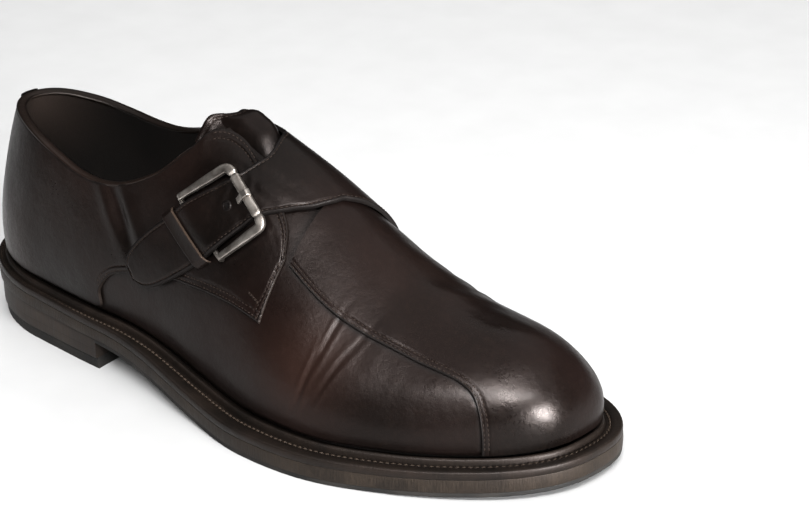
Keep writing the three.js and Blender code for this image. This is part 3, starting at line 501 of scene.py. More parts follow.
def rails(table, side, height):
    # smooth rails through the rows' low and high ends
    rows = table.copy()
    follow = rows[:, 3] == atCollar
    rows[follow, 3] = openingRound(rows[follow, 2], side, height)
    rows = np.column_stack([np.linspace(0, 1, len(rows)), rows])

    def place(share, up):  # a straight mix between the two rails
        return (mix(read(rows, 1, share), read(rows, 3, share), up),
                mix(read(rows, 2, share), read(rows, 4, share), up))
    return place


def endCaps(count, ring):  # quads that close a tube's first and last ring
    k = np.arange(ring // 2 - 1)
    cap = np.stack([k, k + 1, ring - 2 - k, ring - 1 - k], -1)
    return [cap[:, ::-1], cap + (count - 1) * ring]


def sweep(middle, up, wide, high, closed, square=2.6, ring=16):
    # a bar along a way, its section a superellipse that is wide and high at each step
    count = len(middle)
    if closed:
        ahead = unit(np.roll(middle, -1, 0) - np.roll(middle, 1, 0))
    else:
        ahead = unit(np.gradient(middle, axis=0))
    side = unit(np.cross(ahead, up))
    up = unit(np.cross(side, ahead))
    angle = 2 * np.pi * (np.arange(ring) + 0.5) / ring
    across = np.sign(np.cos(angle)) * abs(np.cos(angle)) ** (2 / square) / 2
    rise = np.sign(np.sin(angle)) * abs(np.sin(angle)) ** (2 / square) / 2
    points = (middle[:, None] + side[:, None] * (wide[:, None] * across)[..., None]
              + up[:, None] * (high[:, None] * rise)[..., None])
    quads = [gridFaces(count, ring, roundM=closed, roundN=True)]
    if not closed:
        quads += endCaps(count, ring)
    return points.reshape(-1, 3), np.concatenate(quads)


# Creases of the worn vamp: middle, half length and depth in the last's two shares
creases = [  # along, around, slope of along over around, half length, width mm, depth mm
    (0.641, -0.63, 0.085, 0.26, 1.0, 0.24),
    (0.634, -0.69, 0.055, 0.15, 0.8, 0.15),
    (0.664, -0.62, 0.130, 0.24, 1.1, 0.20),
    (0.655, -0.70, 0.100, 0.14, 0.8, 0.14),
    (0.650, -0.62, 0.080, 0.26, 7.0, 0.20),
    (0.392, -0.70, -0.270, 0.085, 3.4, 1.00),
    (0.445, -0.27, -0.100, 0.09, 1.6, 0.20),
    (0.700, -0.30, 0.060, 0.22, 5.0, 0.25),
    (0.655, 0.10, -0.050, 0.30, 5.5, 0.30),
    (0.690, 0.55, -0.080, 0.22, 2.4, 0.35),
    (0.660, 0.60, -0.070, 0.20, 2.2, 0.35),
    (0.735, 0.10, -0.020, 0.35, 7.0, 0.30),
]


def wrinkles(along, around):
    # soft troughs with a low ridge on each side, fading out at both ends
    total = np.zeros_like(along)
    for middle, place, slope, half, width, depth in creases:
        off = (along - middle - slope * (around - place)) * 300 / width
        window = bump(around, place, half)
        total += depth * window * (0.7 * bump(abs(off), 1.5, 0.8) - bump(off, 0, 0.75))
    return total


def swells(along, around):
    # broad hand-worked unevenness of the leather: a few long low waves
    return (0.22 * np.sin(17 * along + 5 * around) * np.sin(7 * around + 3 * along)
            + 0.12 * np.sin(31 * along - 9 * around + 1.7) * np.sin(13 * around))


def formRelief(along, around):
    # wrinkles plus swells, faded out at the heel and the toe
    inside = smooth(along, 0.02, 0.08) * (1 - smooth(along, 0.93, 0.99))
    return (wrinkles(along, around) + swells(along, around)) * inside


# Finishes
class Finish:  # one material, with short calls to add nodes and join them
    def __init__(self, name, **sockets):
        self.material = bpy.data.materials.new(name)
        self.material.use_nodes = True
        self.tree = self.material.node_tree
        self.shader = self.tree.nodes["Principled BSDF"]
        for socket, value in sockets.items():
            self.shader.inputs[socket.replace("_", " ")].default_value = value

    def node(self, kind, inputs=None, **settings):  # its first output
        made = self.tree.nodes.new("ShaderNode" + kind)
        for key, value in settings.items():
            setattr(made, key, value)
        inputs = inputs or {}
        self.feed([made.inputs[key] for key in inputs], inputs.values())
        return made.outputs[0]

    def place(self, kind="Object"):  # where a point is, in metres
        return self.tree.nodes.new("ShaderNodeTexCoord").outputs[kind]

    def noise(self, where, scale, detail=3, rough=0.55, stretch=None):  # 0 to 1
        if stretch:
            where = self.node("Mapping", {"Vector": where, "Scale": stretch})
        inputs = {"Vector": where, "Scale": scale, "Detail": detail, "Roughness": rough}
        return self.node("TexNoise", inputs)

    def cells(self, where, scale):  # distance from the nearest seed
        return self.node("TexVoronoi", {"Vector": where, "Scale": scale}, feature="F1")

    def between(self, value, low, high, start=0.0, end=1.0):
        # start at low, end at high, in a straight line between
        limits = {"From Min": low, "From Max": high, "To Min": start, "To Max": end}
        return self.node("MapRange", {"Value": value, **limits})

    def feed(self, sockets, values):
        # each value is a number or a colour, or another node's output to join
        for socket, value in zip(sockets, values):
            if isinstance(value, bpy.types.NodeSocket):
                self.tree.links.new(value, socket)
            else:
                socket.default_value = value

    def blend(self, share, first, second):  # first at 0, second at 1
        made = self.tree.nodes.new("ShaderNodeMix")
        made.data_type = "RGBA"
        self.feed((made.inputs[0], made.inputs[6], made.inputs[7]), (share, first, second))
        return made.outputs[2]

    def maths(self, operation, *values):  # one sum, by its name
        made = self.tree.nodes.new("ShaderNodeMath")
        made.operation = operation
        self.feed(made.inputs, values)
        return made.outputs[0]

    def mark(self, label):  # a value that each point of the mesh carries
        made = self.tree.nodes.new("ShaderNodeAttribute")
        made.attribute_name = label
        return made.outputs["Fac"]

    def near(self, centre, reach):
        # 1 at a point of the shoe, falling softly to 0 at that distance in metres
        far = self.tree.nodes.new("ShaderNodeVectorMath")
        far.operation = "DISTANCE"
        self.tree.links.new(self.place(), far.inputs[0])
        far.inputs[1].default_value = centre
        limits = {"From Min": 0.0, "From Max": reach, "To Min": 1.0, "To Max": 0.0}
        inputs = {"Value": far.outputs["Value"], **limits}
        return self.node("MapRange", inputs, interpolation_type="SMOOTHSTEP")

    def finish(self, **sockets):
        for socket, value in sockets.items():
            self.tree.links.new(value, self.shader.inputs[socket.replace("_", " ")])
        return self.material

    def relief(self, *layers):  # pairs of height and depth in metres, laid one on another
        normal = None
        for height, depth in layers:
            inputs = {"Height": height, "Distance": depth, "Strength": 1.0}
            if normal is not None:
                inputs["Normal"] = normal
            normal = self.node("Bump", inputs)
        return normal


def colour(red, green, blue):
    # display values 0 to 255 to linear ones, by the usual curve for screens
    linear = [((v / 255 + 0.055) / 1.055) ** 2.4 if v > 10 else v / 255 / 12.92 for v in (red, green, blue)]
    return tuple(linear) + (1,)


def scaled(tone, factor):  # a lighter or darker tone
    return tuple(factor * part for part in tone[:3]) + (1,)


calf = dict(  # burnished espresso calf
    deep=colour(7, 6, 5), brown=colour(25, 17, 15), red=colour(40, 26, 21), worn=colour(62, 52, 45),
    black=colour(9, 8, 8), speck=colour(50, 38, 32),
    grain=2600, pebble=760, roughness=(0.27, 0.43), duller=0.25,
)
warmShine = (1.0, 0.88, 0.84, 1.0)  # the waxed leather tints what it reflects


def burnishedLeather(name):
    # calf from brown to black: clouds, brown patches with a painted reflection among them, patches of
    # painted shade, specks, then worn edges and a dark mark that is partly dyed edges and partly painted
    # shade
    f = Finish(name, Coat_Weight=0.07, Coat_Roughness=0.16, Specular_IOR_Level=0.23,
               Specular_Tint=warmShine)
    where = f.place()
    clouds = f.noise(where, 26, 4)
    wide = f.noise(where, 9, 2)
    tone = f.blend(f.between(wide, 0.35, 0.65), calf["deep"], calf["brown"])
    tone = f.blend(f.between(clouds, 0.42, 0.75, 0, 0.55), tone, calf["brown"])
    # brown patches; the one low on the heel is a painted reflection
    for centre, reach, strength in burnishAndSheenPatches:
        cloudy = f.between(clouds, 0.3, 0.7, 0.4 * strength, strength)
        share = f.maths("MULTIPLY", f.near(centre, reach), cloudy)
        tone = f.blend(share, tone, calf["red"])
    # painted shade: spots turned towards deep brown
    for centre, reach, strength in shadePatches:
        tone = f.blend(f.maths("MULTIPLY", f.near(centre, reach), strength), tone, calf["deep"])
    speck = f.noise(where, 420, 2)
    tone = f.blend(f.between(speck, 0.5, 0.8, 0, 0.08), tone, calf["speck"])
    # dark mark: partly dyed edges, partly painted shade beside seams and in the strap's hole
    tone = f.blend(f.mark("edgeDyeAndShade"), tone, calf["black"])
    tone = f.blend(f.mark("rawEdge"), tone, calf["worn"])
    grain = f.cells(where, calf["grain"])
    pebble = f.noise(where, calf["pebble"], 3, 0.6)
    soft = f.noise(where, 120, 2)
    rough = f.between(clouds, 0.35, 0.65, *calf["roughness"])
    rough = f.maths("ADD", rough, f.between(pebble, 0.3, 0.7, -0.03, 0.05))
    rough = f.maths("ADD", rough, f.maths("MULTIPLY", f.mark("edgeDyeAndShade"), calf["duller"]))
    for centre, reach, change in polishPatches:
        rough = f.maths("ADD", rough, f.maths("MULTIPLY", f.near(centre, reach), change))
    normal = f.relief((soft, 0.00025), (pebble, 0.00007), (grain, 0.00002))
    return f.finish(Base_Color=tone, Roughness=rough, Normal=normal)


burnishAndSheenPatches = [  # centre in metres, reach, strength: where the brown shows through, and one painted reflection
    ((0.058, -0.045, 0.040), 0.034, 0.80), ((0.030, -0.052, 0.045), 0.035, 0.35),
    # painted reflection: the second patch here, low on the heel, lightens it as a sheen would
    ((-0.080, -0.040, 0.070), 0.040, 0.40), ((-0.125, -0.030, 0.035), 0.035, 0.60),
    ((-0.020, -0.030, 0.090), 0.035, 0.30),
    ((0.075, 0.010, 0.065), 0.040, 0.30), ((0.060, 0.045, 0.045), 0.040, 0.45),
]
# painted shade: centre, reach and strength of spots turned towards deep brown, mostly low by the floor,
# also at the heel's back and on the instep
shadePatches = [
    ((0.140, -0.010, 0.018), 0.050, 0.85), ((-0.142, 0.0, 0.060), 0.050, 0.45),
    ((0.020, -0.055, 0.020), 0.040, 0.35), ((0.012, -0.010, 0.098), 0.042, 0.80),
    ((-0.085, -0.035, 0.045), 0.030, 0.45), ((0.095, -0.050, 0.022), 0.045, 0.90),
]

polishPatches = [  # centre, reach, change of roughness
    ((0.135, -0.005, 0.030), 0.075, -0.06), ((0.000, -0.060, 0.030), 0.060, 0.08),
    ((0.070, 0.020, 0.060), 0.050, 0.08),
]


def trimmedEdge(name, low, high, lines=1.0, rough=(0.45, 0.62)):
    # a sole's edge: brushed up and down, darker in the pores, shinier on the ridges
    f = Finish(name, Coat_Weight=0.06, Coat_Roughness=0.25, Specular_IOR_Level=0.3,
               Specular_Tint=warmShine)
    run = f.place("UV")
    brushed = f.noise(run, 1700, 3, 0.6, stretch=(1, 0.12, 1))
    stain = f.noise(f.place(), 60, 4, 0.6)
    pores = f.noise(f.place(), 1500, 2)
    tone = f.blend(f.between(stain, 0.35, 0.7), low, high)
    tone = f.blend(f.between(brushed, 0.42, 0.70, 0, 0.35 * lines), tone, scaled(high, 1.8))
    tone = f.blend(f.between(pores, 0.55, 0.75, 0, 0.5), tone, low)
    normal = f.relief((brushed, 0.00022 * lines), (pores, 0.00006))
    return f.finish(Base_Color=tone, Roughness=f.between(brushed, 0.3, 0.7, *rough), Normal=normal)


def stackedLeather(name):
    # heel lifts: thin level lines between layers, over a brushed and waxed face
    f = Finish(name, Coat_Weight=0.06, Coat_Roughness=0.3, Specular_IOR_Level=0.25)
    where = f.place()
    run = f.place("UV")
    f.node("SeparateXYZ", {"Vector": where})
    height = f.tree.nodes[-1].outputs["Z"]
    liftPitch = 0.0044  # metres from one lift to the next
    layer = f.maths("FRACT", f.maths("DIVIDE", height, liftPitch))
    line = f.between(f.maths("ABSOLUTE", f.maths("SUBTRACT", layer, 0.5)), 0.42, 0.5)
    stain = f.noise(where, 45, 4, 0.6)
    brushed = f.noise(run, 700, 3, 0.6, stretch=(1, 0.1, 1))
    tone = f.blend(f.between(stain, 0.35, 0.7), colour(34, 29, 26), colour(50, 43, 38))
    tone = f.blend(f.between(brushed, 0.45, 0.75, 0, 0.4), tone, colour(64, 55, 48))
    tone = f.blend(f.maths("MULTIPLY", line, 0.25), tone, colour(20, 17, 15))
    normal = f.relief((brushed, 0.00008), (line, -0.00003))
    return f.finish(Base_Color=tone, Roughness=f.between(brushed, 0.3, 0.7, 0.48, 0.62), Normal=normal)


def mattRubber(name):  # dark rubber with scuffs and a fine grit
    f = Finish(name, Specular_IOR_Level=0.4)
    where = f.place()
    grit = f.noise(where, 1300, 3, 0.65)
    scuff = f.noise(where, 70, 4)
    tone = f.blend(f.between(scuff, 0.4, 0.75), colour(20, 19, 18), colour(40, 37, 34))
    normal = f.relief((grit, 0.00006))
    return f.finish(Base_Color=tone, Roughness=f.between(grit, 0.3, 0.7, 0.6, 0.8), Normal=normal)


def liningLeather(name):  # smooth leather with pores, and painted light on the back of the sock
    f = Finish(name, Specular_IOR_Level=0.3)
    where = f.place()
    clouds = f.noise(where, 30, 3)
    pores = f.cells(where, 1800)
    tone = f.blend(f.between(clouds, 0.3, 0.7), colour(16, 13, 11), colour(24, 19, 16))
    # painted light: the back of the sock is lighter where light falls into the shoe
    tone = f.blend(f.near((-0.145, 0.0, 0.085), 0.045), tone, colour(48, 39, 34))
    normal = f.relief((f.noise(where, 300, 3), 0.00008), (pores, 0.00003))
    return f.finish(Base_Color=tone, Roughness=f.between(pores, 0.0, 0.5, 0.55, 0.75), Normal=normal)


def waxedThread(name, tone):  # dull thread with the twist as a fine noise
    f = Finish(name, Specular_IOR_Level=0.2)
    twist = f.noise(f.place(), 2400, 2, 0.7)
    shade = f.blend(f.between(twist, 0.35, 0.7), scaled(tone, 0.45), tone)
    rough = f.between(twist, 0.3, 0.7, 0.5, 0.7)
    return f.finish(Base_Color=shade, Roughness=rough, Normal=f.relief((twist, 0.0001)))


def antiqueSilver(name):
    # brushed plate, darker in soft clouds where the plating is rubbed
    f = Finish(name, Metallic=1.0)
    run = f.place("UV")
    where = f.place()
    brushed = f.noise(run, 500, 3, 0.6, stretch=(0.12, 1, 1))
    clouds = f.noise(where, 160, 4, 0.6)
    tone = f.blend(f.between(clouds, 0.35, 0.7), colour(122, 115, 109), colour(178, 172, 166))
    tone = f.blend(f.between(brushed, 0.5, 0.75, 0, 0.5), tone, colour(214, 209, 203))
    normal = f.relief((brushed, 0.00003), (clouds, 0.00004))
    return f.finish(Base_Color=tone, Roughness=f.between(brushed, 0.3, 0.7, 0.36, 0.5), Normal=normal)


leather = burnishedLeather("burnished_calf")
liningMaterial = liningLeather("lining_leather")
edgeMaterial = trimmedEdge("trimmed_sole_edge", colour(20, 17, 14), colour(40, 34, 28))
weltMaterial = trimmedEdge("dressed_welt", colour(13, 11, 9), colour(30, 24, 20), 0.5, (0.42, 0.55))
heelMaterial = stackedLeather("stacked_heel")
rubberMaterial = mattRubber("black_rubber")
threadMaterial = waxedThread("seam_thread", colour(50, 40, 34))
weltThread = waxedThread("welt_thread", colour(60, 50, 42))
metalMaterial = antiqueSilver("antique_silver")
print("materials made")


# Sole and heel: plan shapes between the two edges, closed by their own walls
closing = 0.28  # mm by which each layer rises to close the gap to the next
weldReach = 2e-6  # metres within which a piece's points are joined


def planPoint(along, across, inset, hollow=0.0):
    # across is 0 on the outer edge and 1 on the inner one; the front end hollows back
    x0, y0 = insetEdge(along, -1 + 0 * along, inset)
    x1, y1 = insetEdge(along, 1 + 0 * along, inset)
    x = mix(x0, x1, across) - hollow * (1 - (2 * across - 1) ** 2)
    return x, mix(y0, y1, across)


def soleLayer(name, rows, material, slot, replaces, heelEnd=0.0, toeEnd=1.0, hollow=0.0, steps=220):
    # rows of inset and height go up the wall; the two flat faces are grids that meet it
    strips = 24
    run = np.linspace(heelEnd, toeEnd, steps + 1)
    over = np.linspace(0, 1, strips + 1)[1:-1]
    along = np.concatenate([run, np.full(strips - 1, toeEnd), run[::-1], np.full(strips - 1, heelEnd)])
    across = np.concatenate([np.zeros(steps + 1), over, np.ones(steps + 1), over[::-1]])
    bite = hollow * smooth(along, 0.5 * toeEnd, toeEnd)
    rings = []
    for inset, height in rows:
        x, y = planPoint(along, across, inset, bite)
        rings.append(np.stack([x, y, height(x) + 0 * x], -1))
    rings = np.array(rings)
    a, t = np.meshgrid(run, np.linspace(0, 1, strips + 1), indexing="ij")
    faces = []
    for inset, height in (rows[0], rows[-1]):
        x, y = planPoint(a, t, inset, hollow * smooth(a, 0.5 * toeEnd, toeEnd))
        faces.append(np.stack([x, y, height(x) + 0 * x], -1))
    count = rings[0].size // 3
    start = rings.size // 3
    size = faces[0].size // 3
    quads = np.concatenate([
        gridFaces(len(rows), count, roundN=True),
        gridFaces(steps + 1, strips + 1, start, flip=True),
        gridFaces(steps + 1, strips + 1, start + size),
    ])
    around = np.linalg.norm(np.diff(rings[0], axis=0, append=rings[0][:1]), axis=-1)
    runLength = np.concatenate([[0], np.cumsum(around)[:-1]])
    climb = np.concatenate([[0], np.cumsum(np.linalg.norm(np.diff(rings, axis=0), axis=-1).mean(1))])
    wallUv = np.stack(np.broadcast_arrays(runLength[None], climb[:, None]), -1).reshape(-1, 2)
    uv = np.concatenate([wallUv] + [f[..., :2].reshape(-1, 2) for f in faces]) / 1000
    points = np.concatenate([rings.reshape(-1, 3)] + [f.reshape(-1, 3) for f in faces])
    return makePiece(name, points, quads, material, slot, replaces, uv, merge=weldReach)


def roundedRows(low, high, inset, radius, belly=0.0):
    # a side that rises from low to high with rounded corners and a slight belly
    turn = np.linspace(0, np.pi / 2, 5)
    corner = lambda a: inset + radius * (1 - np.sin(a))
    rows = [(corner(a), lambda x, a=a: low(x) + radius * (1 - np.cos(a))) for a in turn]
    for t in (0.25, 0.5, 0.75):
        middle = lambda x, t=t: mix(low(x) + radius, high(x) - radius, t)
        rows.append((inset - belly * np.sin(np.pi * t), middle))
    return rows + [(corner(a), lambda x, a=a: high(x) - radius * (1 - np.cos(a))) for a in turn[::-1]]


def alongAt(x):  # the step along the last whose sole edge is at x
    return np.arccos(1 - 2 * x / shoe.length) / np.pi


def outsoleLow(x):  # the rubber and a gap above the ground side
    return soleBottom(x) + shoe.rubber + shoe.gap


def outsoleHigh(x):  # its thickness less the cut at the waist
    return outsoleLow(x) + shoe.outsole - waistCut(x) + closing


def heelHigh(x):  # the top of the rubber, level past the breast
    return soleBottom(np.minimum(x, shoe.heelLength)) + shoe.rubber + closing


breast = alongAt(shoe.heelLength)
heelWay = dict(toeEnd=breast, hollow=shoe.breastHollow, steps=120)
soleLayer("leather_outsole", roundedRows(outsoleLow, outsoleHigh, 0.0, 0.18, 0.15),
          edgeMaterial, "sole_leather", "outsole")
rubberRows = roundedRows(soleBottom, lambda x: soleBottom(x) + shoe.rubber + closing, 0.25, 0.3)
soleLayer("rubber_forepart", rubberRows, rubberMaterial, "rubber", "rubber_sole",
          heelEnd=alongAt(shoe.heelLength + 0.6))
soleLayer("heel_top_lift", roundedRows(lambda x: 0.0, lambda x: shoe.topLift + closing, 1.75, 0.3),
          rubberMaterial, "rubber", "top_lift", **heelWay)
soleLayer("heel_lifts", roundedRows(lambda x: shoe.topLift + shoe.gap, heelHigh, 0.9, 0.3, 0.1),
          heelMaterial, "heel_leather", "heel_stack", **heelWay)

weltLook = dict(
    channel=1.5, depth=0.6, pitch=2.4, thread=0.95, threadLength=2.0, lift=0.34, slant=0.25,
)


def buildWelt():
    # a profile carried round the edge: under, side, shelf, stitch channel, groove, bead, back
    steps = 420
    along = np.concatenate([np.linspace(0, 1, steps + 1), np.linspace(1, 0, steps + 1)[1:-1]])
    side = np.concatenate([-np.ones(steps + 1), np.ones(steps - 1)])
    edge = shelf(along, side)
    groove = edge - shoe.beadWidth - 0.4
    channel = groove - weltLook["channel"]
    dip = weltLook["depth"]
    arc = np.linspace(0, np.pi, 9)
    beadMiddle, beadHalf = edge - 0.52 * shoe.beadWidth, 0.46 * shoe.beadWidth
    rim = 0 * edge
    rows = [(rim + 0.15, -shoe.welt), (rim, -shoe.welt + 0.15), (rim - 0.1, -0.5 * shoe.welt), (rim, -0.8),
            (rim + 0.15, -0.32), (rim + 0.5, -0.06), (rim + 1.1, 0.08), (0.55 * channel, 0.12),
            (channel - 0.9, 0.05), (channel - 0.5, -0.6 * dip), (channel - 0.2, -dip),
            (channel + 0.3, -dip), (channel + 0.6, -0.75 * dip), (groove - 0.3, -0.7 * dip),
            (groove, -dip), (groove + 0.2, -dip)]
    rows += [(beadMiddle - beadHalf * np.cos(a), shoe.bead * (0.25 + 0.60 * np.sin(a))) for a in arc]
    rows += [(edge, 0.0), (edge + shoe.tuck, 0.0), (edge + shoe.tuck, -shoe.welt)]
    points = []
    for inset, height in rows:
        x, y = insetEdge(along, side, inset)
        points.append(np.stack([x, y, weltTop(x) + height], -1))
    points = np.array(points)
    around = np.linalg.norm(np.diff(points[1], axis=0, append=points[1][:1]), axis=-1)
    run = np.concatenate([[0], np.cumsum(around)[:-1]])
    climb = np.concatenate([[0], np.cumsum(np.linalg.norm(np.diff(points, axis=0), axis=-1).mean(1))])
    uv = np.stack(np.broadcast_arrays(run[None], climb[:, None]), -1) / 1000
    quads = gridFaces(len(rows), len(along), roundM=True, roundN=True)
    makePiece("storm_welt", points, quads, weltMaterial, "welt_leather", "welt", uv, sharp=60)
    x, y = insetEdge(along, side, channel + 0.05)
    line = np.stack([x, y, weltTop(x) - dip], -1)
    up = np.zeros_like(line) + (0, 0, 1)
    closed = (np.concatenate([line, line[:1]]), np.concatenate([up, up[:1]]))
    look = [weltLook[key] for key in ("pitch", "threadLength", "thread", "lift", "slant")]
    sewTogether("welt_stitches", [stitchRow(closed, *look)], weltThread, "welt_leather")


buildWelt()
print("sole and heel made")


# The upper's wall, with the collar and the throat left open
upperLook = dict(shade=0.85, sunk=0.4, crowding=0.9, weld=3e-5)


def panelSeams(along):  # where the outer and the inner seam cross each section
    return (np.interp(along, vampPanelTable[:, 0], vampPanelTable[:, 1]),
            np.interp(along, vampPanelTable[:, 2], vampPanelTable[:, 3]))


def underPanel(along, around):
    # 1 under the vamp panel, falling to 0 just inside both of its seams
    outer, inner = panelSeams(along)
    between = smooth(around - outer, 0.01, 0.05) * smooth(inner - around, 0.01, 0.05)
    return between * smooth(along, 0.5, 0.56)


def seamShade(along, around):
    # painted shade that darkens the vamp beside the panel's two seams, where the raised panel edge shades
    # it
    outer, inner = panelSeams(along)
    past = np.where(around < 0, outer - around, around - inner)
    beside = 1 - smooth(past, 0.003, 0.018)
    return upperLook["shade"] * beside * smooth(along, 0.575, 0.60) * (abs(around) < 0.95)


def buildUpper():  # two shells from the opening down to the welt, joined along the ridge
    halves, quads, marks, start = [], [], [], 0
    # finer steps where the vamp creases
    stretches = (0, 0.58, 111), (0.58, 0.73, 111), (0.73, 1, 61)
    along = np.concatenate([[0]] + [np.linspace(*stretch)[1:] for stretch in stretches])
    for side in (-1, 1):
        top = abs(openingRound(along, side, 0.0, throat=True))
        share = np.linspace(0, 1, 65) ** upperLook["crowding"]
        around = side * mix(1.0, top[:, None], share[None, :])
        place = np.broadcast_to(along[:, None], around.shape)
        sunk = upperLook["sunk"] * underPanel(place, around)
        points = lay(place, around, formRelief(place, around) - sunk)
        halves.append(points.reshape(-1, 3))
        # painted shade beside the panel's seams, carried in the dark mark
        marks.append(seamShade(place, around).ravel())
        quads.append(gridFaces(*around.shape, start, flip=side > 0))
        start += around.size
    points = np.concatenate(halves)
    piece = makePiece("vamp_and_wall", points, np.concatenate(quads), leather, "upper_leather", "upper",
                      dark=np.concatenate(marks), merge=upperLook["weld"], orient=False, sharp=60)
    piece.data.materials.append(liningMaterial)
    wall = piece.modifiers.new("wall", "SOLIDIFY")
    wall.thickness = shoe.wall / 1000
    wall.offset = -1
    wall.material_offset = 1
    wall.use_even_offset = False


buildUpper()

quarterLow = shoe.layGap
quarterHigh = quarterLow + shoe.overlay
seams = []  # every row of thread on the upper
seamLook = dict(channel=0.3, channelHalf=0.42)


def flat(value):  # the same height or thickness all along
    return lambda share: value + 0 * share


def sew(sheet, rows):
    # rows of a border, its inset, the first and last share, and mm left out at both ends
    for border, inset, first, last, start, end in rows:
        seams.append(stitchRow(trimmed(rowAt(sheet, border, inset, first, last), start, end)))


def sunkRows(distance, borders, rows=(1.5, 3.5)):
    # shallow channels that hold the thread, along the named borders
    total = 0
    for border in borders:
        for row in rows:
            total = total - seamLook["channel"] * bump(distance[border], row, seamLook["channelHalf"])
    return total


ripple = dict(height=0.18, inset=7, reach=7, share=0.87, shareReach=0.05, waves=(1.2, 60))


def outerRelief(along, around, distance, share):  # the shared relief, sunk along each seam
    free = smooth(share, 0.38, 0.44)
    corner = smooth(share, 0.70, 0.76)
    total = formRelief(along, around) + free * sunkRows(distance, ["v0"])
    total = total + sunkRows(distance, ["u1"]) + corner * sunkRows(distance, ["v1"], (1.8, 4.2))
    # small ripples where the corner bends over the instep
    edge = distance["v1"]
    bent = bump(edge, ripple["inset"], ripple["reach"]) * bump(share, ripple["share"], ripple["shareReach"])
    wave = np.sin(ripple["waves"][0] * edge + ripple["waves"][1] * share)
    return total + ripple["height"] * bent * wave


quarter = laidSheet("outer_quarter_leather", rails(outerQuarterTable, -1, quarterHigh),
                    flat(quarterLow), flat(shoe.overlay),
                    190, 64, "outer_quarter", relief=outerRelief, raw=0.2)
sew(quarter, [("v0", 1.5, 0.41, 1, 0, 1.5), ("v0", 3.5, 0.41, 1, 0, 3.5), ("u1", 1.5, 0, 1, 1.5, 2),
              ("u1", 3.5, 0, 1, 3.5, 2), ("v1", 1.8, 0.72, 0.99, 0, 0), ("v1", 4.2, 0.72, 0.97, 0, 0)])
for slant in (0.9, -0.9):  # the bar tack above the quarter's tip
    tack = throughPoints([(0.555, -0.598), (0.563, -0.601), (0.571, -0.604)], quarterHigh)
    seams.append(stitchRow(tack, 1.3, 1.5, 0.42, 0.1, slant))


hingeLift = 1.6 + shoe.gap
hingeStep = 0.7  # the table's level over the hinge bar, less the one beside it


def ribbonLow(share):  # by level: up to 1 a mix onto the quarter, past 1 a lift over the hinge
    level = read(ribbonLevelTable, 1, share)
    onQuarter = quarterHigh + shoe.layGap
    lifted = onQuarter + (level - 1) * hingeLift / hingeStep
    return np.where(level <= 1, mix(quarterLow, onQuarter, clamp(level)), lifted)


thins = dict(start=0.44, run=0.1)  # where the quarter turns into the strap


def ribbonThick(share):  # quarter thickness at the rear, strap thickness in front
    return mix(shoe.overlay, shoe.strap, clamp((share - thins["start"]) / thins["run"]))


strapLook = dict(crown=0.35, tired=0.13)
tiredWaves = [  # waves along and across, wobble, place and reach of each tired stretch
    (260, 6, 2, 0.715, 0.035), (110, -7, 0, 0.66, 0.04),
]


def strapRelief(along, around, distance, share):
    # the shared relief, seams, a crown across the strap and tired creases
    onStrap = smooth(share, 0.47, 0.56)
    free = smooth(share, 0.25, 0.30) * (1 - onStrap)
    rows = (1 - onStrap) * free * sunkRows(distance, ["v0"])
    rows = rows + onStrap * sunkRows(distance, ["v0", "v1", "u1"], (1.7,))
    across = distance["v0"] / (distance["v0"] + distance["v1"] + 1e-6)
    crown = onStrap * strapLook["crown"] * np.sin(np.pi * across)
    tired = 0
    for byShare, byWidth, wobble, place, reach in tiredWaves:
        wave = np.sin(byShare * share + byWidth * across + wobble * np.sin(9 * across))
        tired = tired + strapLook["tired"] * wave * bump(share, place, reach)
    return rows + crown + onStrap * tired + (1 - onStrap) * formRelief(along, around)


innerPlace = rails(innerQuarterTable, 1, quarterHigh)
ribbon = laidSheet("inner_quarter_and_strap", innerPlace, ribbonLow, ribbonThick,
                   300, 60, "inner_quarter_strap", relief=strapRelief)
sew(ribbon, [("v0", 1.5, 0.27, 0.44, 0, 0), ("v0", 3.5, 0.27, 0.44, 0, 0), ("v0", 1.7, 0.49, 1, 0, 1.7),
             ("v1", 1.7, 0.49, 1, 0, 1.7), ("u1", 1.7, 0, 1, 1.7, 1.7)])
print("quarters and strap made")


panelRows = (1.1, 2.7)  # mm from the panel's edge to its two rows of thread


def panelPlace(share, over):  # a mix between both side lines, bent forward by the middle one
    rows = np.column_stack([np.linspace(0, 1, len(vampPanelTable)), vampPanelTable])
    share, over = np.broadcast_arrays(share, over)
    middle = read(rows, 5, share)
    inner = over > 0.5
    alongEdge = np.where(inner, read(rows, 3, share), read(rows, 1, share))
    aroundEdge = np.where(inner, read(rows, 4, share), read(rows, 2, share))
    toMiddle = 1 - abs(2 * over - 1)
    down = np.where(inner, 1, -1) * np.maximum(middle - 1, 0)
    return mix(alongEdge, np.minimum(middle, 1), toMiddle), mix(aroundEdge, down, toMiddle)


def panelRelief(along, around, distance, share):  # the shared relief, sunk along both side seams
    return formRelief(along, around) + sunkRows(distance, ["v0", "v1"], panelRows)


panel = laidSheet("vamp_panel_leather", panelPlace, flat(shoe.panelGap), flat(shoe.panel), 150, 150,
                  "vamp_panel", borders="v0 v1", relief=panelRelief)
sew(panel, [(border, inset, 0.02, 0.98, 0, 0) for inset in panelRows for border in ("v0", "v1")])


def stripPlace(share, over):
    # from the outer side round the back seam to the inner one, and up to the collar
    half = 0.032  # of the last's way along
    share, over = np.broadcast_arrays(share, over)
    side = np.where(share < 0.5, -1, 1)
    along = half * abs(2 * share - 1)
    top = np.abs(openingRound(along[:, 0], side[:, 0], quarterHigh))[:, None]
    return along, side * mix(0.985, top, over)


backStrip = laidSheet("back_strip_leather", stripPlace, flat(quarterHigh + shoe.layGap), flat(shoe.strip),
                      40, 70, "back_strip", borders="u0 u1 v1", rounding=0.7)
sew(backStrip, [(border, 1.3, 0.03, 0.97, 0, 0) for border in ("u0", "u1")])
strapTop = quarterHigh + shoe.layGap + shoe.strap


keeperLook = dict(middle=0.831, width=6.0, past=0.085, dome=0.35, clear=0.15, rounding=0.45, raw=0.8)


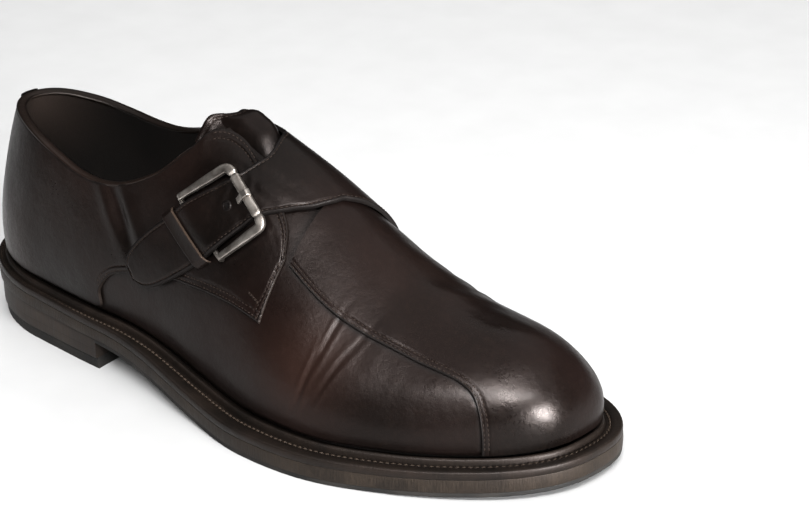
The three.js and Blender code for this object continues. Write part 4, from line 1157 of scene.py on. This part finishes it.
def buildKeeper():
    # a band square over the strap, that comes down past both of its edges
    look = keeperLook
    ways = np.linspace(0, 1, 110), spread(16, np.array([look["width"]]), 0.5)[0]
    share, over = np.meshgrid(*ways, indexing="ij")
    past = look["past"]
    ribbonLength = 0.8 * shoe.length
    ribbonShare = look["middle"] + (0.5 - over) * look["width"] / ribbonLength
    place = rails(innerQuarterTable, 1, quarterHigh)(ribbonShare, mix(1 + past, -past, share))
    crown = np.sqrt(clamp(np.minimum(share, 1 - share) / past))
    dome = look["dome"] * np.sin(np.pi * clamp((share - past) / (1 - 2 * past)))
    overStrap = ribbonLow(ribbonShare) + shoe.strap + look["clear"]
    under = mix(quarterHigh + shoe.layGap, overStrap, crown) + dome
    base, normal = lastPoint(*place), lastNormal(*place)
    distance = borderDistances(base)
    nearest = np.minimum(distance["v0"], distance["v1"])
    fall = np.sqrt(1 - (1 - clamp(nearest / look["rounding"])) ** 2)
    top = base + normal * (under + shoe.keeper * mix(0.4, 0.8, fall))[..., None]
    bottom = base + normal * under[..., None]
    raw = look["raw"] * (1 - smooth(distance["v1"], 0.3, 0.8))
    makePiece("strap_keeper_leather", *sheetSolid(top, bottom), leather, "upper_leather", "strap_keeper",
              raw=np.tile(raw.ravel(), 2))


buildKeeper()


tongueLook = dict(half=0.34, front=0.575, rear=0.519, seam=3.0, seamDepth=0.2,
                  puff=0.3, puffAt=1.3, rounding=1.1)


def buildTongue():
    # a leaf under the throat: it arches up through the slot behind the strap's rear edge
    look = tongueLook
    share, over = np.meshgrid(np.linspace(0, 1, 110), np.linspace(0, 1, 90), indexing="ij")
    around = mix(-look["half"], look["half"], over)
    free = 0.456 - 0.016 * smooth(-around, 0.02, 0.2) + 0.008 * smooth(around, 0.1, 0.34)
    place = (mix(free, look["front"], share), around)
    lip = shoe.tongueLip * (1 - smooth(share, 0.02, 0.13)) * (1 - smooth(abs(around), 0.2, 0.31))
    rear = look["rear"] - 0.75 * np.maximum(place[1] + 0.02, 0) ** 2
    falls = 1 - smooth(place[0], rear - 0.02, rear + 0.026)
    across = clamp(1 - ((place[1] - shoe.tongueCrest) / shoe.tongueReach) ** 2)
    arch = np.maximum(shoe.tongueRise * smooth(share, -0.09, 0.18) * falls * across, lip)
    under = -shoe.wall - 2 * shoe.layGap - shoe.tongue + arch
    base, normal = lastPoint(*place), lastNormal(*place)
    distance = borderDistances(base)
    rim = distance["u0"]
    fall = np.sqrt(1 - (1 - clamp(rim / look["rounding"])) ** 2)
    seam = -look["seamDepth"] * bump(rim, look["seam"], 0.5)
    puff = look["puff"] * bump(rim, look["puffAt"], look["rounding"])
    top = base + normal * (under + shoe.tongue * mix(0.5, 1, fall) + seam + puff)[..., None]
    bottom = base + normal * (under + shoe.tongue * mix(0.5, 0, fall))[..., None]
    makePiece("tongue_leaf", *sheetSolid(top, bottom), leather, "upper_leather", "tongue")
    sheet = dict(top=top, normal=normal, distance=distance)
    sew(sheet, [("u0", look["seam"], 0.12, 0.88, 0, 0)])


buildTongue()


collarLook = dict(over=1.05, under=1.5, drop=0.35, spare=0.12, fade=9, raw=0.12, ring=24)


def buildCollar():
    # the folded topline: a soft roll over the quarter, the wall and the lining
    look = collarLook
    ring = look["ring"]
    along = np.concatenate([np.linspace(0.455, 0, 150), np.linspace(0, 0.445, 150)[1:]])
    side = np.concatenate([-np.ones(150), np.ones(149)])
    around = openingRound(along, side, quarterHigh)
    middleHeight = (quarterHigh - shoe.wall) / 2
    half = (quarterHigh + shoe.wall) / 2 + look["spare"]
    normal = lastNormal(along, around)
    base = lastPoint(along, around)
    middle = base + normal * middleHeight
    run = alongLine(middle, 0)
    fade = np.minimum(1, np.minimum(run, run[-1] - run) / look["fade"])
    ahead = unit(np.gradient(middle, axis=0))
    rise = unit(np.cross(normal, ahead))
    rise = np.where((rise[:, 2] < 0)[:, None], -rise, rise)
    angle = np.linspace(0, 2 * np.pi, ring + 1)[:-1]
    wide = half * (0.75 + 0.25 * fade)
    across, up = np.cos(angle), np.sin(angle)
    lift = np.where(up > 0, look["over"], look["under"])
    points = (middle[:, None] + normal[:, None] * (wide[:, None] * across)[..., None]
              + rise[:, None] * (lift * up - look["drop"])[None, :, None])
    quads = gridFaces(len(middle), ring, roundN=True)
    quads = np.concatenate([quads] + endCaps(len(middle), ring))
    makePiece("folded_topline", points.reshape(-1, 3), quads, leather, "upper_leather",
              raw=np.full(points.size // 3, look["raw"]))


buildCollar()


def buildInsole():
    # straight across between the two inset edges, cupped by a fourth power
    spare, cupRise = 0.6, 0.5
    a, t = np.meshgrid(np.linspace(0, 1, 161), np.linspace(0, 1, 33), indexing="ij")
    edges = [insetEdge(a, side + 0 * a, shelf(a, side + 0 * a) + shoe.wall + spare) for side in (-1, 1)]
    x, y = (mix(edges[0][k], edges[1][k], t) for k in (0, 1))
    low = weltTop(x) + shoe.gap
    cup = cupRise * (2 * t - 1) ** 4
    points, quads = sheetSolid(np.stack([x, y, low + shoe.insole + cup], -1), np.stack([x, y, low], -1))
    makePiece("insole_and_sock", points, quads, liningMaterial, "lining", "insole", merge=weldReach)


buildInsole()
sewTogether("upper_seams", seams, threadMaterial, "upper_leather")
print("seams sewn")

# The buckle: corners in the last's two shares, sizes in mm
buckleSizes = dict(width=3.8, height=2.4, hinge=1.6, prongWidth=3.0, prongThick=1.3)
frontLevel = strapTop + 1.5 * shoe.gap + buckleSizes["height"] / 2
hingeLevel = quarterHigh + shoe.gap + buckleSizes["hinge"] / 2


def fourCorners(c, across, ahead):  # straight mixes: across first, then ahead
    back = mix(c["highBack"], c["lowBack"], across)
    return mix(back, mix(c["highFront"], c["lowFront"], across), ahead)


def onBuckle(across, ahead):  # along and around of a place on the frame
    return [fourCorners({name: place[k] for name, place in buckleCorners.items()}, across, ahead)
            for k in (0, 1)]


def onFrame(across, ahead, level):
    # the frame's four corners stand at that level over the last, with straight bars between
    height = np.reshape(level, (-1, 1))
    corners = {name: lastPoint(*place) + lastNormal(*place) * height
               for name, place in buckleCorners.items()}
    return fourCorners(corners, across[:, None], ahead[:, None])


def metalBar(name, node, middle, up, wide, high, closed, square, ring):
    # a swept bar with its own UV: metres along it, and round it
    points, quads = sweep(middle, up, wide, high, closed, square, ring)
    run = np.repeat(alongLine(middle, 0)[:, None], ring, 1)
    uv = np.stack([run, np.broadcast_to(np.linspace(0, 8, ring), run.shape)], -1) / 1000
    makePiece(name, points, quads, metalMaterial, "buckle_metal", node, uv, sharp=50)


def buildBuckle():
    # a way round the frame with rounded corners, then bars swept along it
    corner, heel = 0.13, 0.06

    def line(a, b, n):  # n even steps from a, without b
        return np.linspace(a, b, n, endpoint=False)

    def bend(a, b, c, n):  # a parabola from a to c that b pulls
        t = line(0, 1, n)[:, None]
        a, b, c = (np.array(p, float) for p in (a, b, c))
        return (1 - t) ** 2 * a + 2 * t * (1 - t) * b + t ** 2 * c
    way = np.concatenate([
        line((0.5, 1), (corner, 1), 26), bend((corner, 1), (0, 1), (0, 1 - corner), 14),
        line((0, 1 - corner), (0, heel), 60), bend((0, heel), (0, 0), (heel, 0), 8),
        line((heel, 0), (1 - heel, 0), 60), bend((1 - heel, 0), (1, 0), (1, heel), 8),
        line((1, heel), (1, 1 - corner), 60), bend((1, 1 - corner), (1, 1), (1 - corner, 1), 14),
        line((1 - corner, 1), (0.5, 1), 26),
    ])
    ends = clamp((way[:, 1] - 0.02) / 0.07)
    place = onBuckle(way[:, 0], way[:, 1])
    up = lastNormal(*place)
    hinge = lay(place[0], place[1], hingeLevel)
    middle = mix(hinge, onFrame(way[:, 0], way[:, 1], frontLevel), ends[:, None])
    # the arms end round at the back: the thick bar thins out fast to the hinge bar
    full = np.sqrt(clamp((way[:, 1] - 0.015) / 0.05))
    taper = mix(0.68, 1.0, smooth(way[:, 1], 0.1, 0.85))
    wide = mix(buckleSizes["hinge"], buckleSizes["width"] * taper, full)
    high = mix(buckleSizes["hinge"], buckleSizes["height"], full)
    notch = 0.30 * (bump(abs(way[:, 0] - 0.5), 0.35, 0.018) * (way[:, 1] > 0.98))
    metalBar("buckle_bars", "buckle_frame", middle, up, wide * (1 - notch), high * (1 - notch), True, 5, 24)


def buildProng():
    # a flat stub: over the front bar, then back and down to the strap
    share = np.linspace(0, 1, 40)
    lift = frontLevel + (buckleSizes["height"] + buckleSizes["prongThick"]) / 2 - 0.1
    ahead = mix(1.075, 0.83, share)
    wrap = 1.1 * clamp((0.16 - share) / 0.16) ** 2
    level = lift - (lift - strapTop - buckleSizes["prongThick"]) * smooth(share, 0.35, 1.0) - wrap
    middle = onFrame(0.5 + 0 * share, ahead, level)
    up = np.broadcast_to(lastNormal(*onBuckle(0.5, 1.0)), middle.shape)
    wide = buckleSizes["prongWidth"] * mix(1.0, 0.9, share)
    high = 0 * share + buckleSizes["prongThick"]
    metalBar("buckle_pin", "buckle_prong", middle, up, wide, high, False, 7, 16)


def buildHole():
    # the strap's next hole: a punched ring with a black disc as painted shade in its middle, both turned on
    # its axis
    steps = 28
    i, j = int(np.argmin(abs(ribbon["share"] - 0.742))), ribbon["top"].shape[1] // 2
    centre, up = ribbon["top"][i, j], ribbon["normal"][i, j]
    ahead = unit(np.cross(up, (0.0, 0.0, 1.0)))
    side = np.cross(up, ahead)
    angle = np.linspace(0, 2 * np.pi, steps + 1)[:-1, None, None]
    outward = np.cos(angle) * ahead + np.sin(angle) * side
    rim = [(2.3, -0.5), (2.2, 0.05), (1.9, 0.28), (1.5, 0.34), (1.25, 0.2), (1.15, -0.5)]
    disc = [(1.3, 0.1), (0.01, 0.1), (0.01, -0.4), (1.3, -0.4)]
    # painted shade: the disc is fully darkened and the rim by half
    for name, profile, dark in (("strap_hole_rim", rim, 0.5), ("strap_hole_painted_shade", disc, 1.0)):
        radius, height = np.array(profile)[None, :, :1], np.array(profile)[None, :, 1:]
        points = centre + outward * radius + height * up
        quads = gridFaces(steps, len(profile), roundM=True, roundN=True)
        makePiece(name, points, quads, leather, "upper_leather", dark=np.full(steps * len(profile), dark))


buildBuckle()
buildProng()
buildHole()
print("buckle made")

# Camera: the photograph's angle, distance, roll and lens
photoView = dict(azimuth=43.608, elevation=23.971, distance=1.194715, roll=-1.881, lens=128.765,
                 target=(-0.007698, 0.082299, 0.020))


def placed(name, data, right, up, back, place):
    # an object that looks against back, with those three directions as its axes
    thing = bpy.data.objects.new(name, data)
    columns = np.stack([right, up, back, place], -1)
    thing.matrix_world = Matrix([list(row) for row in columns] + [[0, 0, 0, 1]])
    bpy.context.scene.collection.objects.link(thing)
    return thing


def placeCamera(view):
    # round by the azimuth, up by the elevation, then rolled about its own axis
    a, e, r = (math.radians(view[k]) for k in ("azimuth", "elevation", "roll"))
    back = np.array([math.sin(a) * math.cos(e), -math.cos(a) * math.cos(e), math.sin(e)])
    right = unit(np.cross(-back, (0, 0, 1)))
    up = np.cross(back, right)
    across = math.cos(r) * right + math.sin(r) * up
    upright = math.cos(r) * up - math.sin(r) * right
    data = bpy.data.cameras.new("photo_camera")
    data.lens, data.sensor_width, data.clip_start = view["lens"], 36, 0.05
    place = np.array(view["target"]) + back * view["distance"]
    bpy.context.scene.camera = placed("photo_camera", data, across, upright, back, place)


placeCamera(photoView)

# Studio: a pale floor and broad soft lights
studio = dict(
    floor=colour(184, 184, 184), fleck=colour(187, 187, 187), reach=4.0, world=0.03,
    lights=[  # name, place, aim, width, height, watts, spread in degrees
        ("overhead", (0.1, 0.1, 1.5), (0.05, 0.0, 0.0), 2.6, 2.6, 19, 180),
        ("strip", (0.85, -0.85, 1.15), (0.05, 0.0, 0.03), 2.2, 0.32, 11.5, 60),
        ("front", (1.26, -0.26, 0.22), (0.12, 0.0, 0.03), 0.50, 0.42, 7.5, 70),
        ("behind", (-0.9, 1.3, 1.2), (-0.3, 0.5, 0.0), 1.2, 1.2, 10, 120),
    ],
)


def buildStudio():  # floor and world, then lamps that each look at a target
    far = studio["reach"]
    corners = [(-far, -far, 0), (far, -far, 0), (far, far, 0), (-far, far, 0)]
    mesh = bpy.data.meshes.new("floor")
    mesh.from_pydata(corners, [], [(0, 1, 2, 3)])
    floor = bpy.data.objects.new("floor", mesh)
    paper = Finish("studio_floor", Roughness=0.75, Specular_IOR_Level=0.2)
    speckle = paper.between(paper.noise(paper.place(), 40, 2), 0.3, 0.7)
    paper.finish(Base_Color=paper.blend(speckle, studio["floor"], studio["fleck"]))
    mesh.materials.append(paper.material)
    bpy.context.scene.collection.objects.link(floor)
    floor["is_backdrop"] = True
    world = bpy.data.worlds.new("studio_world")
    bpy.context.scene.world = world
    world.use_nodes = True
    background = world.node_tree.nodes["Background"]
    background.inputs["Color"].default_value = (1, 1, 1, 1)
    background.inputs["Strength"].default_value = studio["world"]
    for name, place, aim, width, height, watts, spreadAngle in studio["lights"]:
        data = bpy.data.lights.new(name, "AREA")
        data.shape, data.size, data.size_y, data.energy = "RECTANGLE", width, height, watts
        data.spread = math.radians(spreadAngle)
        back = unit(np.array(place) - np.array(aim))
        right = unit(np.cross((0.0, 0.001, 1.0), back))
        up = np.cross(back, right)
        lamp = placed(name, data, right, up, back, place)
        lamp.visible_camera = False
        lamp.visible_glossy = name != "behind"


buildStudio()
bpy.context.scene.view_settings.view_transform = "Standard"
bpy.context.scene.view_settings.gamma = 0.86
print("camera and studio placed")

sizes = dict(cad=[list(corner) for corner in cadBox], visual=[list(corner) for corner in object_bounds()])
